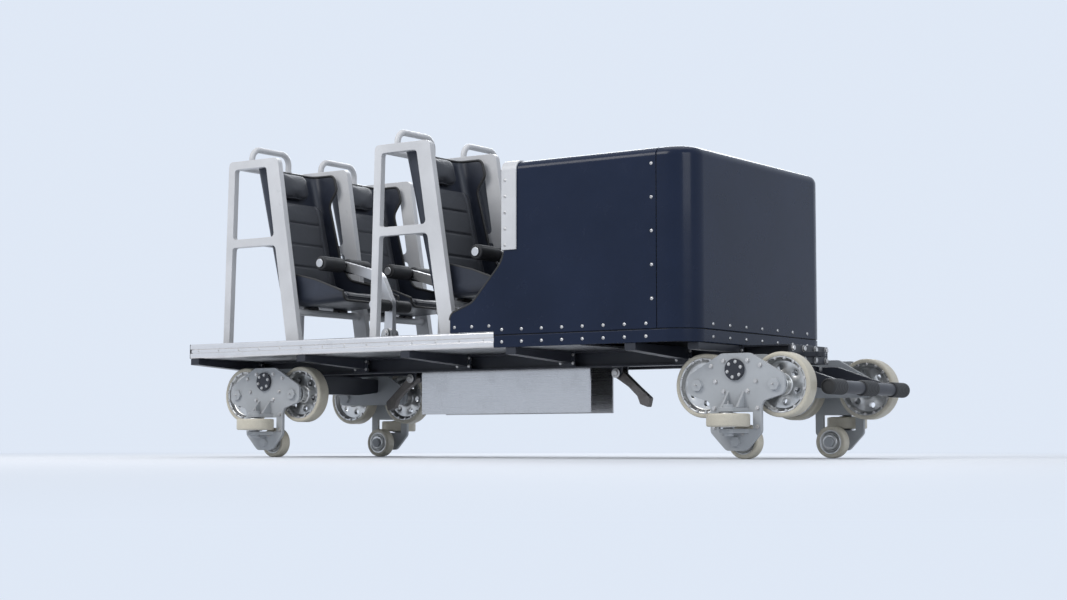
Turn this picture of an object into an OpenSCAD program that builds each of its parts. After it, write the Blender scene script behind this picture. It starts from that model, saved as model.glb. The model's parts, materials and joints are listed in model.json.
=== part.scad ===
// Lead car of a roller coaster train: two rows of two seats behind a box nose,
// on a ladder chassis whose four wheel carriers grip the rails.
// X points forward, Y to the left and Z up; the origin is on the floor below the middle.

/* [Car] */
// Length of the car, from the hitch to the bumper
car_len = 3940; // [3840:20:4100]
// Distance between the two rows of seats
row_pitch = 1050; // [1000:10:1200]
// Width of the ledge between the outer seat frames and the sills
ledge_w = 62; // [55:1:90]
// Length from the rear row's hips to the end of the hitch
tail_len = 640; // [620:10:720]
// Room for the legs, from the front row's hips to the nose
leg_len = 620; // [600:10:700]
// Height of the box nose over the floor
nose_h = 900; // [780:10:950]
// Distance of the front axle ahead of the nose's face
axle_lead = 150; // [120:5:200]
// Reach of the bumper ahead of the front axle
bumper_reach = 430; // [425:5:480]
// Distance of the rear axle behind the rear row's hips
axle_lag = 50; // [30:5:60]

/* [Track] */
// Distance between the middles of the two rails
gauge = 900; // [890:5:920]
// Width of a rail's head
rail_w = 130; // [120:5:140]
// Thickness of a rail's flange
rail_t = 26; // [20:1:30]
// Gap between the flange and the wheel below it
upstop_gap = 4; // [2:1:8]
// Gap between the rail's edge and the wheel beside it
guide_gap = 1; // [1:1:4]

/* [Wheels] */
// Diameter of a road wheel
road_d = 300; // [280:5:310]
// Width of a road wheel's tread
road_w = 76; // [60:2:80]
// Distance between the two road wheels of a carrier
road_pitch = 400; // [390:5:420]
// Diameter of a guide wheel
guide_d = 200; // [180:5:220]
// Width of a guide wheel's tread
guide_w = 60; // [50:2:66]
// Diameter of an up-stop wheel
upstop_d = 160; // [150:5:180]
// Width of an up-stop wheel's tread
upstop_w = 60; // [50:2:66]
// Radius of a road wheel's pin
road_pin_r = 20; // [16:1:22]
// Radius of a guide or up-stop wheel's pin
small_pin_r = 15; // [12:1:16]
// Radial clearance of a wheel or bar on its pin
pin_gap = 0.05; // [0.02:0.01:0.08]
// Clearance of a wheel's hub between its spacers
hub_gap = 0.5; // [0.3:0.1:1]

/* [Carriers] */
// Thickness of a carrier's two side plates
plate_t = 18; // [14:1:20]
// Radius of an axle's spindle
spindle_r = 35; // [30:1:36]
// Wall of the boss round the spindle
boss_wall = 14; // [12:1:15]
// Height of the spindle over the rail
spindle_rise = 220; // [215:1:224]
// Clearance of pieces that seat on each other
seat_gap = 0.3; // [0.2:0.1:0.5]

/* [Chassis] */
// Room between the road wheels and the floor's underside
wheel_room = 50; // [46:1:80]
// Thickness of the floor
floor_t = 12; // [8:1:16]
// Height of the two long beams
beam_h = 85; // [80:1:88]
// Width of a long beam's flanges
beam_w = 55; // [45:1:60]
// Distance of a long beam's web from the middle
beam_y = 142; // [130:2:150]
// Thickness of a long beam's flanges and web
beam_t = 9; // [6:1:12]
// Height of the cross members
cross_h = 60; // [50:1:64]
// Width of the cross members
cross_w = 60; // [50:2:66]
// Height of the bright sills
sill_h = 80; // [70:2:100]
// Width of the bright sills
sill_w = 45; // [40:1:50]
// Radius of the king pin
king_pin_r = 25; // [20:1:28]
// Half the angle through which the front axle steers
steer_angle = 8; // [4:1:8]

/* [Seats] */
// Width of a seat shell
seat_w = 490; // [470:5:500]
// Thickness of a seat shell's sides
shell_t = 12; // [8:1:14]
// Clearance of a seat shell beside the middle frame
middle_room = 27; // [20:1:36]
// Clearance of a seat shell beside an outer frame
side_room = 22; // [16:1:30]
// Thickness of a seat frame's sides
frame_t = 36; // [24:2:40]
// Height of a seat frame over the floor
frame_h = 1080; // [1070:5:1120]
// Height of the hoops over the floor
hoop_h = 1190; // [1180:5:1230]
// Radius of a hoop's tube
hoop_r = 17; // [12:1:19]
// Thickness of the cushions
pad_t = 60; // [50:2:70]
// Radius of the tubes across a seat frame
cross_tube_r = 19; // [15:1:20]

/* [Lap bars] */
// Distance of a lap bar's pin ahead of the hips
bar_reach = 620; // [610:5:640]
// Height of a lap bar's pin over the floor
bar_z = 110; // [100:2:120]
// Radius of a lap bar's pin
bar_pin_r = 14; // [12:1:16]
// Thickness of a lap bar's post
post_t = 36; // [30:1:40]
// Length of the padded bar over the thighs
bar_w = 390; // [360:5:410]
// Radius of the lap bar's tube
bar_r = 17; // [14:1:18]
// Radius of the foam round the lap bar
foam_r = 40; // [34:1:44]

/* [Nose] */
// Thickness of the nose's skin
skin_t = 10; // [6:1:12]
// Radius of the nose's upright front corners
nose_corner_r = 140; // [80:5:180]
// Radius of the nose's top edges
nose_edge_r = 45; // [30:5:60]

/* [Hidden] */
$fn = 48;
// Steps of a rounded corner: up to a radius of 30, up to 100 and beyond
ARC_STEPS = [3, 5, 9];

// Heights
rail_z = upstop_d + upstop_gap + rail_t;
road_z = rail_z + road_d / 2;
upstop_z = upstop_d / 2;
guide_z = rail_z - rail_t / 2;
spindle_z = rail_z + spindle_rise;
under_z = rail_z + road_d + wheel_room;
floor_z = under_z + floor_t;
beam_z = under_z - beam_h;
cross_z = under_z - cross_h;

// Places along the car
x_tail = -car_len / 2;
x_rear_row = x_tail + tail_len;
x_front_row = x_rear_row + row_pitch;
x_nose = x_front_row + leg_len;
x_front_axle = car_len / 2 - bumper_reach;
x_face = x_front_axle - axle_lead;
x_rear_axle = x_rear_row - axle_lag;
floor_tail = 465;
x_floor_end = x_rear_row - floor_tail;
sill_lag = 60;
x_sill_end = x_nose - sill_lag;
frame_tail = 35;
x_frame_end = x_floor_end - frame_tail;
head_reach = 90;
x_frame_nose = x_front_axle + head_reach;

// Places across the car
rail_y = gauge / 2;
rail_edge = rail_y + rail_w / 2;
guide_y = rail_edge + guide_gap + guide_d / 2;
seat_y = frame_t / 2 + middle_room + seat_w / 2;
frame_y = seat_y + seat_w / 2 + side_room + frame_t / 2;
floor_y = frame_y + frame_t / 2 + ledge_w;
side_y = floor_y + sill_w;

// Carrier, measured from the middle of its spindle: half widths of its shoulder, plates, arms and foot
shoulder_x = 75;
shoulder_h = 75;
foot_half = 52;
lug_half = 70;
lug_tip = 36;
outer_y = rail_edge + 12;
outer_end = outer_y + plate_t;
road_hub = road_w + 24;
inner_end = rail_y - road_hub / 2 - 12;
inner_y = inner_end - plate_t;
boss_r = spindle_r + boss_wall;
plate_x = road_pitch / 2 + 52;
window_w = 176;
window_h = guide_w + 16;
arm_x = window_w / 2 + 45;
guide_hub = guide_w + 8;
upstop_hub = upstop_w + 10;
lug_t = 20;
spacer_r = 30;
nut_t = 14;
cap_t = 14;

// Beams of the two axles
axle_w = 90;
axle_top = beam_z - 6;
axle_end_y = inner_y - seat_gap;
head_t = 30;
axle_boss_r = 62;
axle_boss_h = 62;
bumper_drop = 80;

// Eyes at the two ends
hitch_pin_r = 20;
tow_pin_r = 16;

// Dogs below the ladder frame
dog_z = cross_z - 50;
dog_pin_r = 14;
lift_dog_reach = 850;
rollback_dog_reach = 560;

// Cross members of the ladder frame, with the height of the arms at their tips
tip_h = 34;
tip_y = side_y - 5;
rear_member_gap = 45;
front_member_gap = 125;
// Member: place along the car, height of its arms at the beams and end of its arms;
// the last one passes over the front wheels and stops short of the nose's rounded corners
MEMBERS = [
  [x_floor_end + cross_w / 2, cross_h, tip_y],
  [x_rear_axle + road_pitch / 2 + road_d / 2 + rear_member_gap, cross_h, tip_y],
  [x_front_row, cross_h, tip_y],
  [x_nose + 40, cross_h, tip_y],
  [x_front_axle - road_pitch / 2 - road_d / 2 - front_member_gap, cross_h, tip_y],
  [x_face - skin_t - cross_w / 2, tip_h, side_y - nose_corner_r + 40],
];

// Nose: top, rear ends of its cheeks, foot rest inside it and trim over its rear edge
nose_top = floor_z + nose_h;
cheek_reach = 290;
cheek_h = 420;
foot_reach = 250;
foot_slope = 120;
trim_t = 8;
trim_w = 80;
trim_lip = 24;

// Seat frame, measured from the hips and the floor
leg_foot = 250;
leg_head = 70;
leg_w = 92;
back_leg_w = 46;
rail_h = 46;
mid_rail_z = 622;
mid_tube_x = -84;
low_tube = [165, 234];
hoop_x = -262;

// Bucket, measured from the hips and the floor: inner corner at the hips, end of its pan, top of its back
hip = [45, 262];
pan_end = [600, 290];
back_end = [-152, 1060];
pan_len = 490;
back_h = 1045;
wing_foot = back_h - 165;
head_foot = back_h - 160;

// Lap bar, measured from its pin
bar_x = -330;
bar_top = 385;
shin_x = 5;
shin_z = 150;
shin_r = 15;
shin_w = 300;

// Tables
// Corner of the car: name, x of the axle, 1 for left and -1 for right
CORNERS = [
  ["front_left", x_front_axle, 1],
  ["front_right", x_front_axle, -1],
  ["rear_left", x_rear_axle, 1],
  ["rear_right", x_rear_axle, -1],
];
// Road wheel of a carrier: name, direction from the spindle
TANDEM = [["lead", 1], ["trail", -1]];
// Seat: name, x of the hips, y of the middle
SEATS = [
  ["front_left", x_front_row, seat_y],
  ["front_right", x_front_row, -seat_y],
  ["rear_left", x_rear_row, seat_y],
  ["rear_right", x_rear_row, -seat_y],
];
// Row of seats: name, x of the hips
ROWS = [["front", x_front_row], ["rear", x_rear_row]];
// Dog below the chassis: name, x of its pin, 1 where it points forward and -1 where it trails
DOGS = [
  ["lift_dog", x_front_row + lift_dog_reach, 1],
  ["rollback_dog", x_rear_row + rollback_dog_reach, -1],
];

function unit(v) = v / norm(v);

// Point i of an outline, counted round its end
function at(rows, i) = let (row = rows[(i + len(rows)) % len(rows)]) [row[0], row[1]];

// Steps of the arc of a corner of radius r
function steps(r) = ARC_STEPS[r < 30 ? 0 : r < 100 ? 1 : 2];

// Points of the arc that rounds corner b between a and c
function corner(a, b, c, r) =
  r == 0 ? [b] :
  let (
    n = steps(r),
    u = unit(a - b),
    v = unit(c - b),
    half = acos(u * v) / 2,
    middle = b + unit(u + v) * r / sin(half),
    first = b + u * r / tan(half) - middle,
    last = b + v * r / tan(half) - middle,
    start = atan2(first[1], first[0]),
    turn = atan2(cross(first, last), first * last)
  )
  [for (i = [0 : n]) middle + r * [cos(start + turn * i / n), sin(start + turn * i / n)]];

// Outline from rows of [x, y, corner radius]
function rounded(rows) =
  [for (i = [0 : len(rows) - 1]) each corner(at(rows, i - 1), at(rows, i), at(rows, i + 1), rows[i][2])];

// Piece with an outline in the X-Z plane, from y0 to y1
module side_piece(rows, y0, y1) {
  translate([0, y1, 0]) rotate([90, 0, 0]) linear_extrude(y1 - y0) polygon(rounded(rows));
}

// Piece with an outline in the Y-Z plane, from x0 to x1
module front_piece(rows, x0, x1) {
  translate([x0, 0, 0]) rotate([90, 0, 90]) linear_extrude(x1 - x0) polygon(rounded(rows));
}

// Piece with an outline in the X-Y plane, from z0 to z1
module flat_piece(rows, z0, z1) {
  translate([0, 0, z0]) linear_extrude(z1 - z0) polygon(rounded(rows));
}

// Box between two corners
module block(low, high) {
  translate(low) cube(high - low);
}

// Round bar across the car
module bar_y(x, z, r, y0, y1) {
  translate([x, y0, z]) rotate([-90, 0, 0]) cylinder(r = r, h = y1 - y0);
}

// Round bar that stands upright
module bar_up(x, y, r, z0, z1) {
  translate([x, y, z0]) cylinder(r = r, h = z1 - z0);
}

// Hexagonal nut on a bar across the car
module nut_y(x, z, r, y0, y1) {
  translate([x, y0, z]) rotate([-90, 0, 0]) cylinder(r = r, h = y1 - y0, $fn = 6);
}

// The same piece on the left side, or mirrored to the right one
module on_side(side) {
  mirror([0, side < 0 ? 1 : 0, 0]) children();
}

// Wheel round Z: dished web between the hub and a rim that carries a thick tread
module wheel(d, w, hub_w, pin_r) {
  hub_r = pin_r + 24;
  rim_r = d / 2 - 34;
  web = 26;
  half = [
    [pin_r + pin_gap, hub_w / 2, 0],
    [hub_r, hub_w / 2, 3],
    [hub_r + 4, web / 2, 4],
    [rim_r, web / 2, 4],
    [rim_r + 6, w / 2, 3],
    [d / 2, w / 2, 9],
  ];
  mirrored = [for (i = [len(half) - 1 : -1 : 0]) [half[i][0], -half[i][1], half[i][2]]];
  rotate_extrude() polygon(rounded(concat(half, mirrored)));
}

// Road wheel, drilled to save weight
module road_wheel(x, side) {
  hole_r = 15;
  hole_ring = (road_pin_r + 24 + road_d / 2 - 34) / 2;
  color("tan") on_side(side) translate([x, rail_y, road_z]) rotate([90, 0, 0]) difference() {
    wheel(road_d, road_w, road_hub, road_pin_r);
    for (i = [0 : 5])
      rotate(i * 60) translate([hole_ring, 0, -road_w / 2]) cylinder(r = hole_r, h = road_w);
  }
}

module guide_wheel(x, side) {
  color("tan") on_side(side) translate([x, guide_y, guide_z])
    wheel(guide_d, guide_w, guide_hub, small_pin_r);
}

module upstop_wheel(x, side) {
  color("tan") on_side(side) translate([x, rail_y, upstop_z]) rotate([90, 0, 0])
    wheel(upstop_d, upstop_w, upstop_hub, small_pin_r);
}

// Pin of one road wheel between the carrier's two plates, with its spacers and nuts
module road_pin(x) {
  bar_y(x, road_z, road_pin_r, inner_y - nut_t, outer_end + nut_t);
  bar_y(x, road_z, spacer_r, inner_y, rail_y - road_hub / 2 - hub_gap);
  bar_y(x, road_z, spacer_r, rail_y + road_hub / 2 + hub_gap, outer_end);
  nut_y(x, road_z, spacer_r, inner_y - nut_t, inner_y);
  nut_y(x, road_z, spacer_r, outer_end, outer_end + nut_t);
}

// Pin of the wheel below the rail, held by the outer plate alone
module upstop_pin() {
  hub_end = rail_y - upstop_hub / 2 - hub_gap;
  bar_y(0, upstop_z, small_pin_r, hub_end - cap_t, outer_end + nut_t);
  bar_y(0, upstop_z, small_pin_r + 10, rail_y + upstop_hub / 2 + hub_gap, outer_end);
  bar_y(0, upstop_z, small_pin_r + 10, hub_end - cap_t, hub_end);
  nut_y(0, upstop_z, small_pin_r + 10, outer_end, outer_end + nut_t);
}

// Two lugs and the upright pin of the wheel beside the rail
module guide_fork() {
  low = guide_z - window_h / 2;
  high = guide_z + window_h / 2;
  lug = [
    [-lug_half, outer_y, 0],
    [lug_half, outer_y, 0],
    [lug_tip, guide_y + 34, 30],
    [-lug_tip, guide_y + 34, 30],
  ];
  flat_piece(lug, low - lug_t, low);
  flat_piece(lug, high, high + lug_t);
  bar_up(0, guide_y, small_pin_r, low - lug_t - cap_t, high + lug_t + cap_t);
  bar_up(0, guide_y, small_pin_r + 9, low - lug_t - cap_t, guide_z - guide_hub / 2 - hub_gap);
  bar_up(0, guide_y, small_pin_r + 9, guide_z + guide_hub / 2 + hub_gap, high + lug_t + cap_t);
  gusset = [[outer_end - 1, high, 0], [guide_y - 5, high + lug_t, 0], [outer_end - 1, high + 95, 0]];
  for (x = [-40, 40])
    front_piece(gusset, x - 6, x + 6);
}

// Carrier: two plates astride the road wheels, the outer one reaching round the rail
module carrier(x, side) {
  shoulder = [
    [-plate_x, road_z + 45, 40],
    [-shoulder_x, spindle_z + shoulder_h, 40],
    [shoulder_x, spindle_z + shoulder_h, 40],
    [plate_x, road_z + 45, 40],
    [plate_x, road_z - 42, 35],
  ];
  inner = concat(shoulder, [[-plate_x, road_z - 42, 35]]);
  outer = concat(shoulder, [
    [arm_x, guide_z + 85, 30],
    [arm_x, guide_z - 55, 30],
    [foot_half, upstop_z - 42, 35],
    [-foot_half, upstop_z - 42, 35],
    [-arm_x, guide_z - 55, 30],
    [-arm_x, guide_z + 85, 30],
    [-plate_x, road_z - 42, 35],
  ]);
  color("slategray") on_side(side) translate([x, 0, 0]) {
    difference() {
      union() {
        side_piece(outer, outer_y, outer_end);
        side_piece(inner, inner_y, inner_end);
        bar_y(0, spindle_z, boss_r, inner_y, outer_end);
        for (t = TANDEM)
          road_pin(t[1] * road_pitch / 2);
        upstop_pin();
      }
      bar_y(0, spindle_z, spindle_r + seat_gap, inner_y - 1, outer_end + 1);
      translate([-window_w / 2, outer_y - 1, guide_z - window_h / 2])
        cube([window_w, plate_t + 2, window_h]);
    }
    guide_fork();
  }
}

// Spindles at both ends of an axle, with the caps that keep the carriers on
module spindles(x) {
  for (side = [1, -1])
    on_side(side) {
      bar_y(x, spindle_z, spindle_r, axle_end_y - 40, outer_end + seat_gap + cap_t);
      bar_y(x, spindle_z, spindle_r + 15, outer_end + seat_gap, outer_end + seat_gap + cap_t);
    }
}

// Arched beam of an axle, whose middle rises to top
module axle_beam(x, top) {
  low = spindle_z - 40;
  front_piece([
    [-axle_end_y, low, 12],
    [-beam_y - 60, low - 18, 60],
    [beam_y + 60, low - 18, 60],
    [axle_end_y, low, 12],
    [axle_end_y, axle_top, 12],
    [beam_y + beam_w + 30, axle_top, 0],
    [beam_y + beam_w + 12, top, 0],
    [-beam_y - beam_w - 12, top, 0],
    [-beam_y - beam_w - 30, axle_top, 0],
    [-axle_end_y, axle_top, 12],
  ], x - axle_w / 2, x + axle_w / 2);
}

module rear_axle() {
  color("dimgray") {
    axle_beam(x_rear_axle, beam_z);
    spindles(x_rear_axle);
  }
}

// Front axle, which turns about the king pin
module front_axle() {
  color("dimgray") difference() {
    union() {
      axle_beam(x_front_axle, axle_top);
      spindles(x_front_axle);
      bar_up(x_front_axle, 0, axle_boss_r, spindle_z - axle_boss_h, beam_z - seat_gap);
    }
    bar_up(x_front_axle, 0, king_pin_r + pin_gap, spindle_z - axle_boss_h - 1, beam_z);
  }
}

// Bumper tube ahead of the front wheels, on two arms from the front axle
module front_bumper() {
  tube_r = 30;
  tube_x = x_front_axle + bumper_reach - tube_r;
  tube_z = spindle_z - bumper_drop;
  tube_end = 400;
  arm_x0 = x_front_axle + axle_w / 2 + seat_gap;
  arm_y = 240;
  arm_t = 28;
  color("dimgray") {
    for (y = [-arm_y, arm_y])
      side_piece([
        [arm_x0, spindle_z - 36, 0],
        [arm_x0, spindle_z + 34, 0],
        [arm_x0 + 90, spindle_z + 34, 40],
        [tube_x, tube_z + 24, 0],
        [tube_x, tube_z - 24, 0],
        [arm_x0 + 70, spindle_z - 50, 40],
      ], y - arm_t / 2, y + arm_t / 2);
    bar_y(tube_x, tube_z, tube_r, -tube_end, tube_end);
  }
}

// Long channel beam with its web towards the middle
module long_beam() {
  front_piece([
    [beam_y, beam_z, 0],
    [beam_y + beam_w, beam_z, 0],
    [beam_y + beam_w, beam_z + beam_t, 0],
    [beam_y + beam_t, beam_z + beam_t, 0],
    [beam_y + beam_t, under_z - beam_t, 0],
    [beam_y + beam_w, under_z - beam_t, 0],
    [beam_y + beam_w, under_z, 0],
    [beam_y, under_z, 0],
  ], x_frame_end + seat_gap, x_frame_nose - seat_gap);
}

// Ladder frame: two long beams between end plates, the head with the king pin, and the dogs' brackets
module chassis_frame() {
  end_t = 12;
  end_y = beam_y + beam_w;
  color("dimgray") {
    for (side = [1, -1])
      on_side(side) long_beam();
    block([x_frame_end - end_t, -end_y, beam_z], [x_frame_end, end_y, under_z]);
    block([x_frame_nose, -end_y, beam_z], [x_frame_nose + end_t, end_y, under_z]);
    frame_head();
    for (d = DOGS)
      dog_bracket(d[1]);
  }
}

// Head between the beams with the king pin and its nut, and the tow eye ahead of it
module frame_head() {
  pin_foot = spindle_z - axle_boss_h - seat_gap;
  nut_h = 24;
  thread = 6;
  head_y = beam_y - seat_gap;
  block([x_front_axle - head_reach, -head_y, beam_z], [x_frame_nose, head_y, beam_z + head_t]);
  bar_up(x_front_axle, 0, king_pin_r, pin_foot - nut_h - thread, beam_z + head_t);
  translate([x_front_axle, 0, pin_foot - nut_h]) cylinder(r = king_pin_r + 19, h = nut_h, $fn = 6);
  tow_eye();
}

// Cross members: a block between the long beams and tapered arms out to the sills and the nose
module cross_members() {
  root_y = beam_y + beam_w + seat_gap;
  color("dimgray")
    for (m = MEMBERS) {
      x0 = m[0] - cross_w / 2;
      arm = [[root_y, under_z - m[1], 0], [m[2], under_z - tip_h, 0], [m[2], under_z, 0], [root_y, under_z, 0]];
      block([x0, seat_gap - beam_y, cross_z], [x0 + cross_w, beam_y - seat_gap, under_z]);
      for (side = [1, -1])
        on_side(side) front_piece(arm, x0, x0 + cross_w);
    }
}

// Upright eye at the front end of the frame, for the pin of a tow bar
module tow_eye() {
  eye_r = 34;
  eye_x = x_frame_nose + 60;
  eye_z = under_z - beam_h / 2;
  half_h = 12;
  difference() {
    union() {
      flat_piece([
        [x_frame_nose + 11, -60, 0],
        [eye_x, -eye_r, 0],
        [eye_x, eye_r, 0],
        [x_frame_nose + 11, 60, 0],
      ], eye_z - half_h, eye_z + half_h);
      bar_up(eye_x, 0, eye_r, eye_z - half_h, eye_z + half_h);
    }
    bar_up(eye_x, 0, tow_pin_r, eye_z - half_h - 1, eye_z + half_h + 1);
  }
}

// Member between the long beams with the ears and pin of a dog
module dog_bracket(x) {
  foot_z = dog_z - 22;
  ear = [[x - 34, cross_z + 1, 0], [x - 26, foot_z, 22], [x + 26, foot_z, 22], [x + 34, cross_z + 1, 0]];
  block([x - 40, seat_gap - beam_y, cross_z], [x + 40, beam_y - seat_gap, under_z - 10]);
  for (y = [-34, 22])
    side_piece(ear, y, y + 12);
  bar_y(x, dog_z, dog_pin_r, -40, 40);
}

// Dog that hangs from its pin, with a hooked foot for the chain or the ratchet below it
module dog(x, way) {
  color("darkgray") translate([x, 0, dog_z]) mirror([way < 0 ? 1 : 0, 0, 0]) difference() {
    union() {
      bar_y(0, 0, 27, -21, 21);
      side_piece([
        [-24, 12, 0],
        [24, 12, 0],
        [120, -70, 40],
        [190, -128, 12],
        [178, -176, 8],
        [128, -158, 0],
        [112, -118, 20],
        [60, -70, 40],
        [-10, -26, 20],
      ], -16, 16);
    }
    bar_y(0, 0, dog_pin_r + pin_gap, -22, 22);
  }
}

// Floor with the ears that carry the lap bars
module floor_pan() {
  color("dimgray") {
    block([x_floor_end, -floor_y + seat_gap, under_z], [x_nose + 420, floor_y - seat_gap, floor_z]);
    for (s = SEATS)
      lap_bracket(s[1] + bar_reach, s[2]);
  }
}

// Two ears and a pin on the floor for one lap bar
module lap_bracket(x, y) {
  ear_y = post_t / 2 + 1;
  for (side = [1, -1])
    translate([0, y, 0]) on_side(side)
      side_piece([
        [x - 55, floor_z - 1, 0],
        [x - 30, floor_z + bar_z + 28, 28],
        [x + 30, floor_z + bar_z + 28, 28],
        [x + 55, floor_z - 1, 0],
      ], ear_y, ear_y + 12);
  bar_y(x, floor_z + bar_z, bar_pin_r, y - ear_y - 20, y + ear_y + 20);
}

// Bright sill along each side, with a groove in its outer face
module sills() {
  groove = 6;
  color("silver")
    for (side = [1, -1])
      on_side(side)
        front_piece([
          [floor_y, under_z, 4],
          [side_y, under_z, 10],
          [side_y, under_z + sill_h * 0.35, 2],
          [side_y - groove, under_z + sill_h * 0.4, 2],
          [side_y - groove, under_z + sill_h * 0.6, 2],
          [side_y, under_z + sill_h * 0.65, 2],
          [side_y, under_z + sill_h, 10],
          [floor_y, under_z + sill_h, 4],
        ], x_floor_end, x_sill_end);
}

// Two upright fins for the brakes, hung inside the long beams
module brake_fins() {
  fin_y = beam_y - 40;
  fin_t = 10;
  fin_lag = 970;
  fin_lead = 120;
  color("silver")
    for (side = [1, -1])
      on_side(side)
        front_piece([
          [fin_y, rail_z + 40, 0],
          [fin_y + fin_t, rail_z + 40, 0],
          [fin_y + fin_t, cross_z - 14, 0],
          [beam_y - seat_gap, cross_z - 14, 0],
          [beam_y - seat_gap, cross_z - seat_gap, 0],
          [fin_y, cross_z - seat_gap, 0],
        ], x_nose - fin_lag, x_nose + fin_lead);
}

// Drawbar with an upright eye for the pin of the next car
module rear_hitch() {
  eye_r = 48;
  eye_x = x_tail + eye_r;
  eye_z = beam_z + beam_h / 2;
  plate_x0 = x_frame_end - 12 - seat_gap;
  color("dimgray") difference() {
    union() {
      block([plate_x0 - 18, -110, beam_z + 4], [plate_x0, 110, under_z - 4]);
      flat_piece([
        [plate_x0 - 17, -70, 0],
        [plate_x0 - 17, 70, 0],
        [eye_x, 34, 0],
        [eye_x, -34, 0],
      ], eye_z - 20, eye_z + 20);
      bar_up(eye_x, 0, eye_r, eye_z - 25, eye_z + 25);
    }
    bar_up(eye_x, 0, hitch_pin_r, eye_z - 26, eye_z + 26);
  }
}

// Side outline of the nose: tall box, then a low cheek that sweeps back over the sill
function nose_side(inset) = [
  [x_front_row + cheek_reach, under_z + sill_h + seat_gap, 0],
  [x_sill_end + seat_gap, under_z + sill_h + seat_gap, 0],
  [x_sill_end + seat_gap, under_z, 0],
  [x_face - inset, under_z, 0],
  [x_face - inset, nose_top - inset, nose_edge_r],
  [x_nose, nose_top - inset, 0],
  [x_nose, floor_z + cheek_h, 130],
  [x_front_row + cheek_reach + 140, floor_z + cheek_h - 205, 110],
  [x_front_row + cheek_reach, floor_z + cheek_h - 255, 45],
];

// Plan outline of the nose
function nose_plan(inset) = [
  [x_front_row + 200, inset - side_y, 0],
  [x_face - inset, inset - side_y, nose_corner_r - inset],
  [x_face - inset, side_y - inset, nose_corner_r - inset],
  [x_front_row + 200, side_y - inset, 0],
];

// Front outline of the nose, set off outwards by out
function nose_front(out) = [
  [-side_y - out, under_z - 50, 0],
  [side_y + out, under_z - 50, 0],
  [side_y + out, nose_top + out, nose_edge_r + out],
  [-side_y - out, nose_top + out, nose_edge_r + out],
];

// Solid nose
module nose_form() {
  intersection() {
    side_piece(nose_side(0), -side_y, side_y);
    flat_piece(nose_plan(0), under_z - 50, nose_top + 50);
    front_piece(nose_front(0), x_front_row, x_face);
  }
}

// Hollow of the nose, open to the rear and below
module nose_hollow() {
  intersection() {
    flat_piece(nose_plan(skin_t), under_z - 50, nose_top);
    front_piece(nose_front(-skin_t), x_front_row, x_face - skin_t);
  }
}

module nose_cowl() {
  color("midnightblue") difference() {
    nose_form();
    nose_hollow();
  }
}

// Arch round the nose between two distances off its skin
module nose_arch(low, high, x0, x1) {
  difference() {
    front_piece(nose_front(high), x0, x1);
    front_piece(nose_front(low), x0 - 1, x1 + 1);
    block([x0 - 1, -side_y * 2, 0], [x1 + 1, side_y * 2, floor_z + cheek_h + 45]);
  }
}

// Bright angle trim over the rear edge of the nose, from cheek to cheek
module nose_trim() {
  color("lightgray") {
    nose_arch(seat_gap, trim_t, x_nose - trim_t, x_nose + trim_w);
    nose_arch(-trim_lip, seat_gap + 1, x_nose - trim_t, x_nose - seat_gap);
  }
}

// Bulkhead in the nose, with a sloping rest for the feet
module nose_bulkhead() {
  foot_x = x_nose + foot_reach;
  wall_x = foot_x + foot_slope;
  top = nose_top - skin_t;
  wall_t = 12;
  color("dimgray") intersection() {
    side_piece([
      [foot_x, floor_z + seat_gap, 0],
      [wall_x, floor_z + 2 * foot_slope, 60],
      [wall_x, top, 0],
      [wall_x + wall_t, top, 0],
      [wall_x + wall_t, floor_z + 2 * foot_slope - 4, 60],
      [foot_x + wall_t + 2, floor_z + seat_gap, 0],
    ], -side_y, side_y);
    front_piece(nose_front(-skin_t - seat_gap), x_nose, x_face);
  }
}

// x of the front leg's front edge at height z
function leg_x(z) = leg_foot - (leg_foot - leg_head) * z / frame_h;

// One side of a seat frame: a broad front leg, a thin rear leg and a rail between them
module frame_side() {
  rear_foot = hoop_x - 60;
  rear_head = hoop_x - 30;
  low_top = mid_rail_z - rail_h / 2;
  high_foot = mid_rail_z + rail_h / 2;
  high_top = frame_h - rail_h;
  difference() {
    side_piece([[rear_foot, 0, 6], [rear_head, frame_h, 25], [leg_head, frame_h, 35], [leg_foot, 0, 6]],
      -frame_t / 2, frame_t / 2);
    side_piece([
      [rear_head + back_leg_w - 10, high_foot, 15],
      [rear_head + back_leg_w, high_top, 15],
      [leg_x(high_top) - leg_w, high_top, 20],
      [leg_x(high_foot) - leg_w, high_foot, 20],
    ], -frame_t, frame_t);
    side_piece([
      [rear_foot + back_leg_w, rail_h, 15],
      [rear_head + back_leg_w - 12, low_top, 15],
      [leg_x(low_top) - leg_w, low_top, 30],
      [leg_x(rail_h) - leg_w, rail_h, 15],
    ], -frame_t, frame_t);
  }
}

// Bent tube that rises from the top tube behind one seat
module hoop(y) {
  bend_r = 60;
  half_w = 150;
  base_z = frame_h - rail_h / 2;
  leg_z = hoop_h - hoop_r - bend_r;
  for (side = [-1, 1]) {
    bar_up(hoop_x, y + side * half_w, hoop_r, base_z, leg_z);
    translate([hoop_x, y, leg_z]) on_side(side) translate([0, half_w - bend_r, 0]) rotate([90, 0, 90])
      rotate_extrude(angle = 90) translate([bend_r, 0]) circle(r = hoop_r);
  }
  bar_y(hoop_x, leg_z + bend_r, hoop_r, y - half_w + bend_r, y + half_w - bend_r);
}

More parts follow.
